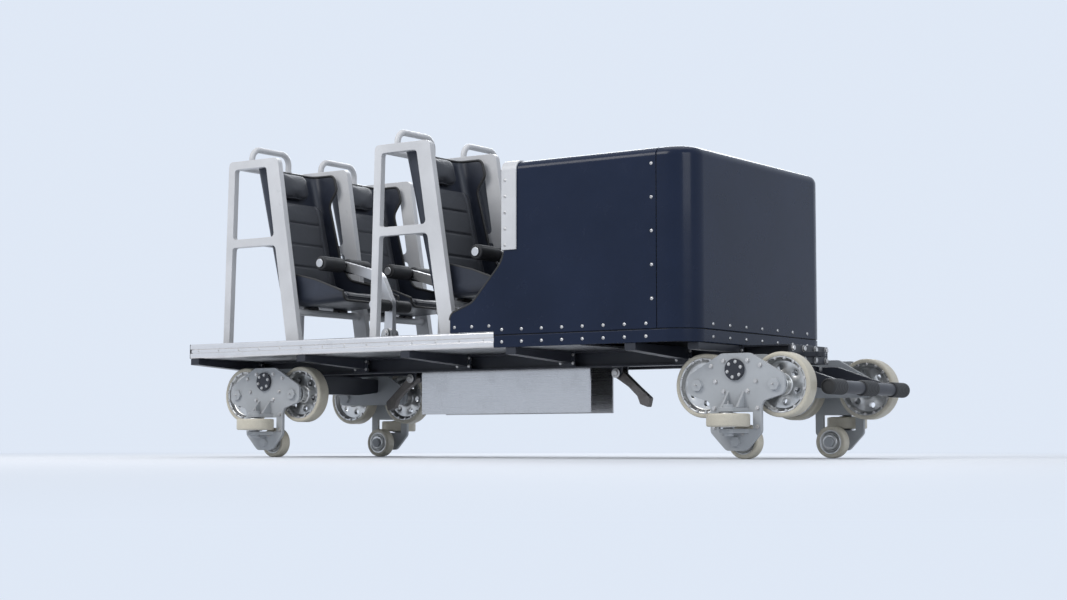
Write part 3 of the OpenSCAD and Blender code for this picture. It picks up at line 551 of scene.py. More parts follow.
def wheelMeshes(kind):
    size = wheelKinds[kind]
    radius, half, hub, pin = size["radius"], size["tread"] / 2, size["hub"] / 2, size["pin"]
    web, rim, edge = wheelKinds["web"], radius - wheelKinds["treadDepth"], wheelKinds["treadEdge"]
    hubR, rimR, step = pin + 0.024, radius - 0.034, half - 0.0025
    hubPart = [(pin + 0.0006, hub - 0.001), (pin + 0.0016, hub), (pin + 0.009, hub), (pin + 0.010, hub - 0.002),
               (pin + 0.012, hub - 0.002), (pin + 0.013, hub), (hubR - 0.003, hub), (hubR - 0.001, hub - 0.001),
               (hubR, hub - 0.003), (hubR + 0.001, web + 0.006), (hubR + 0.003, web + 0.002),
               (hubR + 0.007, web)]
    rimPart = [(rimR - 0.008, web), (rimR - 0.003, web + 0.002), (rimR, web + 0.006),
               (rimR + 0.004, step - 0.003), (rimR + 0.006, step - 0.001), (rimR + 0.008, step),
               (rim - 0.001, step), (rim, step - 0.001)]
    if kind == "road":  # hub and rim stand apart, joined by the drilled web and held by bolts
        metal = turnedMesh(bothSides(hubPart), 64, True)
        addPart(metal, turnedMesh(bothSides(rimPart), 80, True))
        addPart(metal, drilledWeb(hubR + 0.0035, rimR - 0.0035))
        head, count, first, ring, level = "m8", wheelKinds["rimBolts"], 0.5, (rimR + rim) / 2, step
    else:
        metal = turnedMesh(bothSides(hubPart + rimPart), 64, True)
        head, count, first, ring, level = "small", wheelKinds["webScrews"], 0.0, (hubR + rimR) / 2, web
    layer = metal.verts.layers.float.new("ring")
    for vert in metal.verts:
        vert[layer] = math.hypot(vert.co.x, vert.co.y)
    arc = circlePoints(edge, [math.radians(90 - 15 * k) for k in range(7)])
    outline = [(rim - 0.0004, half - 0.004), (rim + 0.0006, half - 0.0012), (rim + 0.003, half)]
    outline += [(radius - edge + r, half - edge + z) for r, z in arc]
    outline += [(radius, (half - edge) * k) for k in (0.6, 0.2)]
    tread = turnedMesh(bothSides(outline), 96, True)
    screws = bmesh.new()
    turns = [math.tau * (k + first) / count for k in range(count)]
    for way in sides:
        addCopies(screws, fasteners[head],
                  [placeAt((x, y, way * (level - 0.0002)), (0, 0, way), a)
                   for a, (x, y) in zip(turns, circlePoints(ring, turns))])
    seal = turnedMesh([(pin + 0.0015, hub - 0.003), (pin + 0.0015, hub + 0.0003), (pin + 0.003, hub + 0.0003),
                       (pin + 0.008, hub - 0.0005), (pin + 0.0085, hub - 0.003)], 40, True)
    seals = bmesh.new()
    addCopies(seals, templateMesh(seal), [Matrix(), Matrix.Rotation(math.pi, 4, "X")])
    parts = {"wheel": metal, "tread": tread, "fastener": screws, "rubber_trim": seals}
    return {slot: templateMesh(bm) for slot, bm in parts.items()}


def makeWheel(node, kind, centre):
    place = placeAt(centre, wheelKinds[kind]["axis"], 0.13 * len(node))  # so that not all stand at one angle
    for slot, word in (("wheel", "hub"), ("tread", "tread"), ("fastener", "screws"), ("rubber_trim", "seals")):
        made = copiesPiece(f"{node}_{word}", wheels[kind][slot], [place], slot, bodyOf(node), 38.0)
        if word == "hub":
            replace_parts(made, node)


wheels = {kind: wheelMeshes(kind) for kind in ("road", "guide", "upstop")}
for name, axleX, side in cornerList:
    for word, shift in (("lead", 0.200), ("trail", -0.200)):
        makeWheel(f"road_wheel_{name}_{word}", "road", (axleX + shift, side * car["treadY"], car["roadZ"]))
    makeWheel(f"guide_wheel_{name}", "guide", (axleX, side * car["guideY"], car["guideZ"]))
    makeWheel(f"upstop_wheel_{name}", "upstop", (axleX, side * car["treadY"], car["upstopZ"]))
print("wheels made")


# Carriers: the CAD pieces with broken edges, welds, plate bolts and grease nipples
carrier = {
    "edge": 0.0018,
    "plateY": 0.545,
    "capY": 0.5593,
    "capBolts": 6,
    "capRing": 0.036,
    "boltMiddle": 0.365,
    "upperBolts": [(-0.128, 0.062), (0.128, 0.062), (-0.062, 0.085), (0.062, 0.085), (-0.062, -0.055),
                   (0.062, -0.055), (-0.105, -0.010), (0.105, -0.010)],
    "lowerBolts": [(-0.112, 0.232), (-0.112, 0.147), (0.112, 0.232), (0.112, 0.147), (-0.034, 0.120),
                   (0.034, 0.120)],
    "boss": (0.0495, (0.5262, 0.3888)),
    "seamX": 0.068,
    "seamZ": (0.118, 0.236),
    "gussetX": (-0.0475, -0.0325, 0.0325, 0.0475),
    "gussetZ": (0.239, 0.307),
    "nippleX": (-0.200, 0.200),
    "nippleY": 0.559,
    "guideTop": 0.2488,
}


def makeCarrier(name, axleX, side):
    node = "carrier_" + name
    body = bodyOf(node)
    dressNode(node, "carrier_paint", carrier["edge"])
    turns = [math.tau * k / carrier["capBolts"] + 0.3 for k in range(carrier["capBolts"])]
    boltField(f"{node}_cap_bolts", "m8",
              [sideAt(axleX + x, carrier["capY"], car["spindleZ"] + z, side, a)
               for a, (x, z) in zip(turns, circlePoints(carrier["capRing"], turns))], body)
    spots = [sideAt(axleX + x, carrier["plateY"], carrier["boltMiddle"] + z, side, 0.4 * i)
             for i, (x, z) in enumerate(carrier["upperBolts"])]
    spots += [sideAt(axleX + x, carrier["plateY"], z, side, 0.3) for x, z in carrier["lowerBolts"]]
    boltField(f"{node}_plate_bolts", "m12", spots, body)
    bossR, bossY = carrier["boss"]
    paths = [ringPath((axleX, side * y, car["spindleZ"]), (0, 1, 0), bossR, 24) for y in bossY]
    lines = [[(x, z) for x in (-carrier["seamX"], carrier["seamX"])] for z in carrier["seamZ"]]
    lines += [[(x, z) for z in carrier["gussetZ"]] for x in carrier["gussetX"]]
    paths += [[(axleX + x, side * (carrier["plateY"] + 0.001), z) for x, z in line] for line in lines]
    weldField(f"{node}_welds", paths, 0.0032, 3, "carrier_paint", body)
    spots = [sideAt(axleX + x, carrier["nippleY"], car["roadZ"], side) for x in carrier["nippleX"]]
    spots.append(placeAt((axleX, side * car["guideY"], carrier["guideTop"])))
    boltField(f"{node}_nipples", "nipple", spots, body)


for name, axleX, side in cornerList:
    makeCarrier(name, axleX, side)
print("carriers made")


# Nose: one cowl over the frame with a lower skirt, and a front moulding with a seam of its own
nose = {
    "outline": [(0.010, 0.6203, 0), (0.2803, 0.6203, 0), (0.2803, 0.540, 0), (1.390, 0.540, 0),
                (1.390, 1.452, 0), (0.340, 1.452, 0), (0.340, 0.972, 0.130), (0.150, 0.767, 0.110),
                (0.010, 0.717, 0.045)],
    "top": 1.452,
    "cornerR": 0.140,
    "edgeR": 0.045,
    "skin": 0.008,
    "rimR": 0.0035,
    "seam": 0.0035,
    "seamZ": 0.6015,
    "seamX": 1.214,
    "strip": 0.024,
    "seal": 0.0062,
    "lowScrews": [0.330 + 0.118 * k for k in range(8)],
    "lowRows": (0.026, -0.034),
    "tailScrews": [0.040 + 0.1062 * k for k in range(3)],
    "tailZ": 0.648,
    "seamScrews": [0.742 + 0.158 * k for k in range(5)],
    "bandX": 0.355,
    "bandOut": 0.0082,
    "bandScrews": [1.040 + 0.080 * k for k in range(5)],
    "faceScrews": [-0.48 + 0.16 * k for k in range(7)],
    "topScrews": [-0.56 + 0.16 * k for k in range(8)],
}


def cutPlane(bm, place, normal, inner=False, outer=False):
    bmesh.ops.bisect_plane(bm, geom=bm.verts[:] + bm.edges[:] + bm.faces[:], dist=1e-6, plane_co=place,
                           plane_no=normal, clear_inner=inner, clear_outer=outer)


# The outer skin without thickness: a block with round edges, open below, behind and at the step
def noseSkin():
    half = car["side"]
    bm = bmesh.new()
    base = bm.faces.new([bm.verts.new((p.x, -half, p.y)) for p in roundedOutline(nose["outline"], 5.0)])
    pushOut(bm, [base], (0, half * 2, 0))
    freshNormals(bm)
    upright = [e for e in bm.edges if all(v.co.x > car["face"] - 0.001 for v in e.verts)
               and abs(e.verts[0].co.z - e.verts[1].co.z) > 0.5]
    bevelEdges(bm, upright, nose["cornerR"], 18)
    crown = [e for e in bm.edges if all(v.co.z > nose["top"] - 0.001 for v in e.verts)
             and not all(v.co.x < 0.341 for v in e.verts)]
    bevelEdges(bm, crown, nose["edgeR"], 8)
    freshNormals(bm)
    opened = [f for f in bm.faces if abs(f.normal.y) < 1e-3 and not f.normal.x > 0.05
              and (f.normal.z <= 0.99 or f.calc_center_median().z < 1.4)]
    bmesh.ops.delete(bm, geom=opened, context="FACES")
    return bm


def noseHalf(skin, height, above):
    part = skin.copy()
    cutPlane(part, (0, 0, height), (0, 0, 1), above, not above)
    bmesh.ops.delete(part, geom=[v for v in part.verts if not v.link_faces], context="VERTS")
    return part


def cutSeam(part):
    place, gap = nose["seamX"], nose["seam"]
    for x in (place - gap / 2, place + gap / 2):
        cutPlane(part, (x, 0, 0), (1, 0, 0))
    between = [f for f in part.faces if abs(f.calc_center_median().x - place) < gap * 0.4]
    bmesh.ops.delete(part, geom=between, context="FACES")


def thickSkin(bm, name):
    bmesh.ops.solidify(bm, geom=bm.faces[:], thickness=nose["skin"])
    freshNormals(bm)
    rims = [e for e in bm.edges if len(e.link_faces) == 2 and e.calc_face_angle() > math.radians(60)
            and e.calc_length() > 1e-5]
    bevelEdges(bm, rims, nose["rimR"], 3, True)
    return finishPiece(name, bm, "nose_paint")


# Flat rubber strip: a line of points drawn sideways, then given its thickness
def stripAlong(run, across):
    bm = bmesh.new()
    raised = bmesh.ops.extrude_edge_only(bm, edges=drawLine(bm, run)[1])["geom"]
    bmesh.ops.translate(bm, vec=across, verts=vertsOf(raised))
    bmesh.ops.solidify(bm, geom=bm.faces[:], thickness=0.003)
    freshNormals(bm)
    return bm


# Line inside the skin from one side over the flat to the other, with two round corners
def cornerRun(far, radius, start):
    side, inset = car["side"], nose["skin"] + 0.001
    arc = circlePoints(radius - inset, [math.radians(7.5 * k) for k in range(13)])
    run = [(side - inset, start)] + [(side - radius + a, far - radius + b) for a, b in arc]
    return run + [(-a, b) for a, b in reversed(run)]


# Rubber strips behind the two seams of the cowl
def noseSeals():
    wide = nose["strip"]
    level = [(x, y, nose["seamZ"] - wide / 2) for y, x in cornerRun(car["face"], nose["cornerR"], 0.283)]
    upright = [(nose["seamX"] - wide / 2, y, z)
               for y, z in cornerRun(nose["top"], nose["edgeR"], nose["seamZ"] + 0.004)]
    bm = bmesh.new()
    addPart(bm, stripAlong(level, (0, 0, wide)))
    addPart(bm, stripAlong(upright, (wide, 0, 0)))
    finishPiece("nose_seam_strip", bm, "rubber_trim", sharp=30.0)


# Round bead swept along a line: a circle at every point, then bridged and closed
def beadAlong(points, radius, around=8):
    bm = bmesh.new()
    rings = []
    for i, point in enumerate(points):
        ahead = Vector(points[min(i + 1, len(points) - 1)]) - Vector(points[max(i - 1, 0)])
        circle = bmesh.ops.create_circle(bm, segments=around, radius=radius)["verts"]
        bmesh.ops.transform(bm, matrix=placeAt(point, ahead.normalized()), verts=circle)
        rings.append(circle)
    for pair in zip(rings, rings[1:]):
        edges = {e for ring in pair for v in ring for e in v.link_edges if all(w in ring for w in e.verts)}
        bmesh.ops.bridge_loops(bm, edges=list(edges))
    bmesh.ops.contextual_create(bm, geom=rings[0])
    bmesh.ops.contextual_create(bm, geom=rings[-1])
    freshNormals(bm)
    return bm


def noseEdgeSeals():
    rear = [p for p in roundedOutline(nose["outline"], 5.0) if p.x < 0.3405 and 0.6205 < p.y < 1.012]
    rear.sort(key=lambda p: -p.y)
    bm = bmesh.new()
    for side in sides:
        y = side * (car["side"] - nose["skin"] / 2)
        addPart(bm, beadAlong([(p.x - 0.001, y, p.y) for p in rear], nose["seal"]))
    finishPiece("nose_edge_seal", bm, "rubber_trim", sharp=60.0, weighted=False)


def noseScrews():
    half, seamRow = car["side"], nose["seamX"] - 0.026
    low = [nose["seamZ"] + dz for dz in nose["lowRows"]]
    flat = [(x, half, z) for x in nose["lowScrews"] for z in low]
    flat += [(x, half, nose["tailZ"]) for x in nose["tailScrews"]]
    flat += [(seamRow, half, z) for z in nose["seamScrews"]]
    flat += [(nose["bandX"], half + nose["bandOut"], z) for z in nose["bandScrews"]]
    places = [sideAt(*spot, side) for side in sides for spot in flat]
    places += [placeAt((car["face"], y, z), (1, 0, 0)) for y in nose["faceScrews"] for z in low]
    places += [placeAt((nose["bandX"], y, nose["top"] + nose["bandOut"])) for y in nose["topScrews"]]
    places += [placeAt((seamRow, y, nose["top"])) for y in nose["topScrews"]]
    boltField("nose_screws", "large", places)


skin = noseSkin()
upper = noseHalf(skin, nose["seamZ"] + nose["seam"] / 2, True)
cutSeam(upper)
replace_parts(thickSkin(upper, "nose_cowl_upper"), "nose_cowl")
thickSkin(noseHalf(skin, nose["seamZ"] - nose["seam"] / 2, False), "nose_cowl_skirt")
skin.free()
noseSeals()
noseEdgeSeals()
noseScrews()
print("nose made")


# Seats: moulded buckets with a rubber rim, on blocks over the frame's tubes
seat = {
    "hip": (0.045, 0.262),
    "hipR": 0.070,
    "panEnd": (0.600, 0.290),
    "backEnd": (-0.152, 1.060),
    "panLen": 0.488,
    "backH": 1.044,
    "half": 0.2345,
    "fillet": 0.044,
    "wall": 0.006,
    "rim": 0.0068,
    "crest": [(0.488, 0.332, 0), (0.300, 0.400, 0.080), (0.130, 0.440, 0.070), (0.060, 0.560, 0.080),
              (-0.025, 0.880, 0.060), (0.030, 0.960, 0.040), (0.005, 1.044, 0.034), (-0.040, 1.044, 0)],
    "steps": 92,
    "across": 34,
    "rimSteps": 24,
    "emboss": 0.006,
    "blockY": (-0.120, 0.120),
    "boltY": (-0.022, 0.022),
    "panX": 0.165,
    "panBlock": (0.050, 0.070, 0.0135),
    "backZ": 0.622,
    "backBlock": (0.016, 0.070, 0.050),
}


def onPan(x, up=0.0):
    (hx, hz), (ex, ez) = seat["hip"], seat["panEnd"]
    return Vector((x, hz + (x - hx) * (ez - hz) / (ex - hx) + up))


def onBack(z, out=0.0):
    (hx, hz), (ex, ez) = seat["hip"], seat["backEnd"]
    return Vector((hx + (z - hz) * (ex - hx) / (ez - hz) + out, z))


def runLengths(points):
    lengths = [0.0]
    for a, b in zip(points, points[1:]):
        lengths.append(lengths[-1] + (b - a).length)
    return lengths


# Place and direction at a share, 0 to 1, of a line's length
def alongLine(points, lengths, share):
    goal = share * lengths[-1]
    i = 0
    while i < len(points) - 2 and lengths[i + 1] < goal:
        i += 1
    part = (goal - lengths[i]) / (lengths[i + 1] - lengths[i])
    return points[i].lerp(points[i + 1], part), (points[i + 1] - points[i]).normalized()


def nearestShare(points, lengths, target):
    best = min(range(len(points)), key=lambda i: (points[i] - Vector(target)).length)
    return lengths[best] / lengths[-1]


def smoothStep(value, low, high):
    t = min(1.0, max(0.0, (value - low) / (high - low)))
    return t * t * (3 - 2 * t)


bucketFloor = roundedOutline([(*onPan(seat["panLen"]), 0), (*seat["hip"], seat["hipR"]),
                              (*onBack(seat["backH"]), 0)], 4.0)
bucketCrest = roundedOutline(seat["crest"], 6.0)
floorRun, crestRun = runLengths(bucketFloor), runLengths(bucketCrest)
floorTurn = nearestShare(bucketFloor, floorRun, (0.067, 0.286))  # the shares where seat turns into back
crestTurn = nearestShare(bucketCrest, crestRun, (0.090, 0.505))


# Point of the bucket: share runs from the front lip to the top, reach from -1 to 1 across
def bucketPoint(share, reach):
    half, fillet = seat["half"], seat["fillet"]
    place, ahead = alongLine(bucketFloor, floorRun, share)
    normal = Vector((ahead.y, -ahead.x))
    if normal.dot(Vector((1, 1))) < 0:
        normal = -normal
    normal = normal.lerp(Vector((1, 0)), smoothStep(share, 0.86, 1.0)).normalized()
    normal = normal.lerp(Vector((0, 1)), 1 - smoothStep(share, 0.0, 0.10)).normalized()
    if share < floorTurn:
        match = share / floorTurn * crestTurn
    else:
        match = crestTurn + (share - floorTurn) / (1 - floorTurn) * (1 - crestTurn)
    top = alongLine(bucketCrest, crestRun, match)[0]
    t = abs(reach)
    if t < 0.40:  # the flat, with a shallow panel pressed into the back
        y = (half - fillet) * t / 0.40
        press = smoothStep(share, 0.45, 0.50) * (1 - smoothStep(share, 0.80, 0.85))
        press *= 1 - smoothStep(y, 0.105, 0.130)
        spot = place - normal * seat["emboss"] * press
    elif t < 0.66:  # the fillet
        angle = math.radians(90) * (t - 0.40) / 0.26
        y = half - fillet + fillet * math.sin(angle)
        spot = place + normal * fillet * (1 - math.cos(angle))
    else:  # the wall up to the crest
        s = (t - 0.66) / 0.34
        spot = (place + normal * fillet).lerp(top, s)
        y = half + 0.003 * s * s
    return Vector((spot.x, math.copysign(y, reach), spot.y))


def bucketMeshes():
    steps, turns = seat["steps"], seat["rimSteps"]
    bm = bmesh.new()
    bmesh.ops.create_grid(bm, x_segments=steps, y_segments=seat["across"], size=0.5)
    for vert in bm.verts:
        vert.co = bucketPoint(vert.co.x + 0.5, max(-1.0, min(1.0, vert.co.y * 2)))
    freshNormals(bm)
    middle = min(bm.faces, key=lambda f: (f.calc_center_median() - Vector((0.3, 0, 0.27))).length)
    if middle.normal.z < 0:
        bmesh.ops.reverse_faces(bm, faces=bm.faces)
    bmesh.ops.solidify(bm, geom=bm.faces[:], thickness=seat["wall"])
    freshNormals(bm)
    fine = [i / (steps * 2) for i in range(steps * 2 + 1)]
    across = [k / turns - 1.0 for k in range(1, turns * 2)]
    shares = [(share, 1.0) for share in fine] + [(1.0, -reach) for reach in across]
    shares += [(share, -1.0) for share in reversed(fine)] + [(0.0, reach) for reach in across]
    border = [bucketPoint(*pair) for pair in shares]
    rim = [p for i, p in enumerate(border) if (p - border[i - 1]).length > 1e-4]
    return templateMesh(bm), templateMesh(beadAlong(rim + rim[:1], seat["rim"]))


bucketMesh, rimMesh = bucketMeshes()
onSeat, onRear = onPan(seat["panX"]), onBack(seat["backZ"])
backRun = Vector(seat["backEnd"]) - Vector(seat["hip"])
lean = Matrix.Rotation(math.atan2(backRun.x, backRun.y), 4, "Y")
for row, rowX in rowList:
    shell, blocks, bolts = bmesh.new(), bmesh.new(), []
    both = [Matrix.Translation((rowX, side * car["seatY"], car["floor"])) for side in (-1, 1)]
    addCopies(shell, bucketMesh, both)
    pan = Vector((rowX + onSeat.x, 0, car["floor"] + onSeat.y))
    back = Vector((rowX + onRear.x, 0, car["floor"] + onRear.y))
    for y in [side * car["seatY"] + way for side in (-1, 1) for way in seat["blockY"]]:
        addBlock(blocks, back + Vector((-0.0175, y, 0)), seat["backBlock"], 0.002, lean)
        addBlock(blocks, pan + Vector((0, y, -0.0128)), seat["panBlock"], 0.003)
        for dy in seat["boltY"]:
            bolts.append(placeAt(pan + Vector((0, y + dy, 0.0002))))
            bolts.append(placeAt(back + Vector((0.0003, y + dy, 0)), (1, 0, 0.245)))
    made = finishPiece(f"seat_shells_{row}_moulded", shell, "seat_shell", sharp=50.0)
    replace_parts(made, f"seat_shells_{row}")
    copiesPiece(f"seat_rims_{row}", rimMesh, both, "rubber_trim")
    finishPiece(f"seat_blocks_{row}", blocks, "rubber_trim", sharp=30.0)
    boltField(f"seat_bolts_{row}", "large", bolts)
print("seat shells made")


# Cushions: blown up as cloth from a slightly smaller pad, then sewn
cushion = {
    "voxel": 0.011,
    "frames": 20,
    "pressure": 4.0,
    "cap": 0.010,
    "width": 0.436,
    "headWidth": 0.244,
    "thick": 0.050,
    "cornerR": 0.045,
    "edgeR": 0.018,
    "seamY": 0.148,
    "seamDepth": 0.0065,
    "seamHalf": 0.0085,
    "piping": 0.0040,
    "pipingStep": 0.012,
}
panAhead = (onPan(0.468) - onPan(0.095)).normalized()
backAhead = (onBack(0.872) - onBack(0.352)).normalized()
padKinds = {  # length, width, place of the lower end, direction and cross seams
    "pan": (0.361, cushion["width"], onPan(0.101, 0.001), panAhead, [0.125, 0.235]),
    "back": (0.522, cushion["width"], onBack(0.358, 0.001), backAhead, [0.130, 0.260, 0.390]),
    "head": (0.140, cushion["headWidth"], onBack(0.890, 0.001), backAhead, []),
}


def padStart(length, width, thick):
    bm = bmesh.new()
    bmesh.ops.create_cube(bm, size=1.0)
    bmesh.ops.scale(bm, vec=(length, width, thick), verts=bm.verts)
    bmesh.ops.translate(bm, vec=(length / 2, 0, thick / 2), verts=bm.verts)
    upright = [e for e in bm.edges if abs(e.verts[0].co.z - e.verts[1].co.z) > thick * 0.9]
    bevelEdges(bm, upright, cushion["cornerR"], 6)
    bevelEdges(bm, [e for e in bm.edges if all(v.co.z > thick * 0.9 for v in e.verts)], cushion["edgeR"], 3)
    made = bpy.data.objects.new("padStart", templateMesh(bm))
    bpy.context.scene.collection.objects.link(made)
    remesh = made.modifiers.new("remesh", "REMESH")
    remesh.mode = "VOXEL"
    remesh.voxel_size = cushion["voxel"]
    return made


def applyModifiers(made):
    graph = bpy.context.evaluated_depsgraph_get()
    mesh = bpy.data.meshes.new_from_object(made.evaluated_get(graph))
    made.modifiers.clear()
    made.data = mesh


def blowUp(made):
    before = [v.co.copy() for v in made.data.vertices]
    cloth = made.modifiers.new("cloth", "CLOTH").settings
    cloth.use_pressure = True
    cloth.uniform_pressure_force = cushion["pressure"]
    cloth.effector_weights.gravity = 0.0
    cloth.quality = 5
    scene = bpy.context.scene
    for step in range(1, cushion["frames"] + 1):
        scene.frame_set(step)
    applyModifiers(made)
    for vert, start in zip(made.data.vertices, before):
        move = vert.co - start
        if move.length > cushion["cap"]:
            vert.co = start + move.normalized() * cushion["cap"]
    scene.frame_set(1)


def sewnMesh(length, width, seams):
    made = padStart(length, width, cushion["thick"])
    applyModifiers(made)
    blowUp(made)
    smooth = made.modifiers.new("smooth", "SUBSURF")
    smooth.levels = smooth.render_levels = 1
    applyModifiers(made)
    bm = bmesh.new()
    bm.from_mesh(made.data)
    bpy.data.objects.remove(made)
    bm.normal_update()
    for vert in bm.verts:
        vert.co.z = max(vert.co.z, 0.0)
        if vert.co.z < cushion["thick"] * 0.4:
            continue
        gaps = [abs(abs(vert.co.y) - cushion["seamY"])] if seams else []  # two seams run the whole length
        if abs(vert.co.y) < cushion["seamY"]:
            gaps += [abs(vert.co.x - place) for place in seams]
        gap = min(gaps, default=1.0) / cushion["seamHalf"]
        if gap < 1:
            vert.co -= vert.normal * (1 - gap * gap) ** 2 * cushion["seamDepth"]
    under = [v for v in bm.verts if v.co.z < 1e-5]  # flat on the shell, so few faces do
    bmesh.ops.dissolve_limit(bm, angle_limit=math.radians(0.5), verts=under,
                             edges=[e for e in bm.edges if all(v.co.z < 1e-5 for v in e.verts)])
    return bm


# Piping round a pad: rays from outside find the pad's skin at the given height
def pipingMesh(bm, length, width, height):
    tree = BVHTree.FromBMesh(bm)
    inset = cushion["cornerR"] + 0.006
    side = width / 2
    corners = [(-0.02, -side - 0.02), (length + 0.02, -side - 0.02), (length + 0.02, side + 0.02),
               (-0.02, side + 0.02)]
    outline = roundedOutline([(x, y, inset + 0.02) for x, y in corners], 7.5)
    path = []
    for i, point in enumerate(outline):
        after = outline[(i + 1) % len(outline)]
        count = max(1, round((after - point).length / cushion["pipingStep"]))
        for start in [point.lerp(after, k / count).to_3d() for k in range(count)]:
            inner = Vector((min(max(start.x, inset + 0.03), length - inset - 0.03),
                            min(max(start.y, inset + 0.03 - side), side - inset - 0.03), 0))
            hit = tree.ray_cast(start + Vector((0, 0, height)), (inner - start).normalized())[0]
            if hit is not None:
                path.append(hit)
    return beadAlong(path + path[:1], cushion["piping"], 7)


for kind, (length, width, start, ahead, seams) in padKinds.items():
    bm = sewnMesh(length, width, seams)
    piping = templateMesh(pipingMesh(bm, length, width, cushion["thick"] * 0.60))
    pad = templateMesh(bm)
    out = (-ahead.y, ahead.x) if kind == "pan" else (ahead.y, -ahead.x)
    local = Matrix(((ahead.x, 0, out[0], start.x), (0, 1, 0, 0), (ahead.y, 0, out[1], start.y), (0, 0, 0, 1)))
    if local.to_3x3().determinant() < 0:  # keeps the pad right side out
        local = local @ Matrix.Scale(-1, 4, (0, 1, 0))
    for name, x, y in seatList:
        row = name.split("_")[0]
        place = Matrix.Translation((x, y, car["floor"])) @ local
        for mesh, word in ((pad, "cushion"), (piping, "piping")):
            made = copiesPiece(f"{kind}_{word}_{name}", mesh, [place], "vinyl", sharp=70.0)
            if word == "cushion":
                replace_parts(made, f"seat_pads_{row}")
print("cushions made")


# Foam sleeves on the lap bars, with rounded ends and a glued lengthwise seam
foam = {
    "pinReach": 0.620,
    "pinZ": 0.110,
    "thigh": (-0.330, 0.385, 0.017, 0.040, 0.195),  # x and z from the pin, tube, radius and outer end
    "shin": (0.005, 0.150, 0.015, 0.032, 0.150),
    "start": 0.0205,
    "endR": 0.011,
    "seam": 0.0022,
    "seamHalf": 0.0045,
}


def sleeveMesh(tube, radius, length):
    end, bore = foam["endR"], tube + 0.0004
    arc = circlePoints(end, [math.radians(15 * k - 90) for k in range(7)])
    half = [(bore, 0.004), (bore + 0.004, 0.0)] + [(radius - end + r, end + z) for r, z in arc]
    points = half + [(radius + 0.0004, length / 2)] + [(r, length - z) for r, z in reversed(half)]
    bm = turnedMesh(points, 56, True)
    for vert in bm.verts:  # the glued seam, on the far side of the bar
        flat = vert.co.xy
        off = abs(math.atan2(flat.y, flat.x)) * flat.length / foam["seamHalf"]
        if flat.length > radius * 0.9 and off < 1:
            vert.co.xy = flat * (1 - foam["seam"] * (1 - off) / flat.length)
    return templateMesh(bm)


for name, x, y in seatList:
    node = "lap_foam_" + name
    whole = bmesh.new()
    for px, pz, tube, radius, end in (foam["thigh"], foam["shin"]):
        sleeve = sleeveMesh(tube, radius, end - 0.0005 - foam["start"])
        spot = (x + foam["pinReach"] + px, car["floor"] + foam["pinZ"] + pz)
        addCopies(whole, sleeve, [placeAt((spot[0], y + side * foam["start"], spot[1]), (0, side, 0), 0.7)
                                  for side in sides])
    made = finishPiece(node + "_sleeves", whole, "foam", bodyOf(node), 60.0, False)
    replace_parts(made, node)
print("foam sleeves made")


# Seat frames: broken edges, weld rings at the tubes and angle brackets on the floor
seatFrame = {
    "half": 0.018,
    "tubeR": 0.020,
    "tubes": [(-0.262, 1.057), (-0.084, 0.622), (0.165, 0.234)],
    "tubeEnds": (0.0183, 0.5567),
    "hoop": (-0.262, 0.150, 1.0745, 0.018),  # x, half width, foot and radius of its weld
    "bracketX": [-0.215, 0.010, 0.135],
    "leg": 0.052,
    "wall": 0.040,
    "long": 0.070,
    "plate": 0.006,
    "boltX": (-0.020, 0.020),
}
frameSides = [(-car["frameY"], -1), (-car["frameY"], 1), (0.0, 1), (0.0, -1), (car["frameY"], 1),
              (car["frameY"], -1)]


def makeFrame(row, rowX):
    node, floor, plate = "seat_frame_" + row, car["floor"], seatFrame["plate"]
    dressNode(node, "frame_paint", 0.0028, 3)
    brackets, bolts, rings = bmesh.new(), [], []
    for y, side in frameSides:  # a bracket has one leg on the floor and one against the frame
        face = y + side * seatFrame["half"]
        for shift in seatFrame["bracketX"]:
            x = rowX + shift
            addBlock(brackets, (x, face + side * seatFrame["leg"] / 2, floor + plate / 2),
                     (seatFrame["long"], seatFrame["leg"], plate), 0.0015)
            addBlock(brackets, (x, face + side * plate / 2, floor + seatFrame["wall"] / 2),
                     (seatFrame["long"], plate, seatFrame["wall"]), 0.0015)
            for dx in seatFrame["boltX"]:
                bolts.append(placeAt((x + dx, face + side * 0.032, floor + plate), turn=shift + y))
                bolts.append(placeAt((x + dx, face + side * plate, floor + 0.026), (0, side, 0), shift))
    for x, z in seatFrame["tubes"]:
        rings += [ringPath((rowX + x, side * y, floor + z), (0, 1, 0), seatFrame["tubeR"], 16)
                  for y in seatFrame["tubeEnds"] for side in sides]
    x, half, z, radius = seatFrame["hoop"]
    rings += [ringPath((rowX + x, seatSide * car["seatY"] + way * half, floor + z), (0, 0, 1), radius, 14)
              for seatSide in sides for way in sides]
    finishPiece(f"{node}_brackets", brackets, "frame_paint", sharp=30.0)
    weldField(f"{node}_welds", rings, 0.0030, 5, "frame_paint")
    boltField(f"{node}_bolts", "m8", bolts)


for row, rowX in rowList:
    makeFrame(row, rowX)
print("seat frames made")


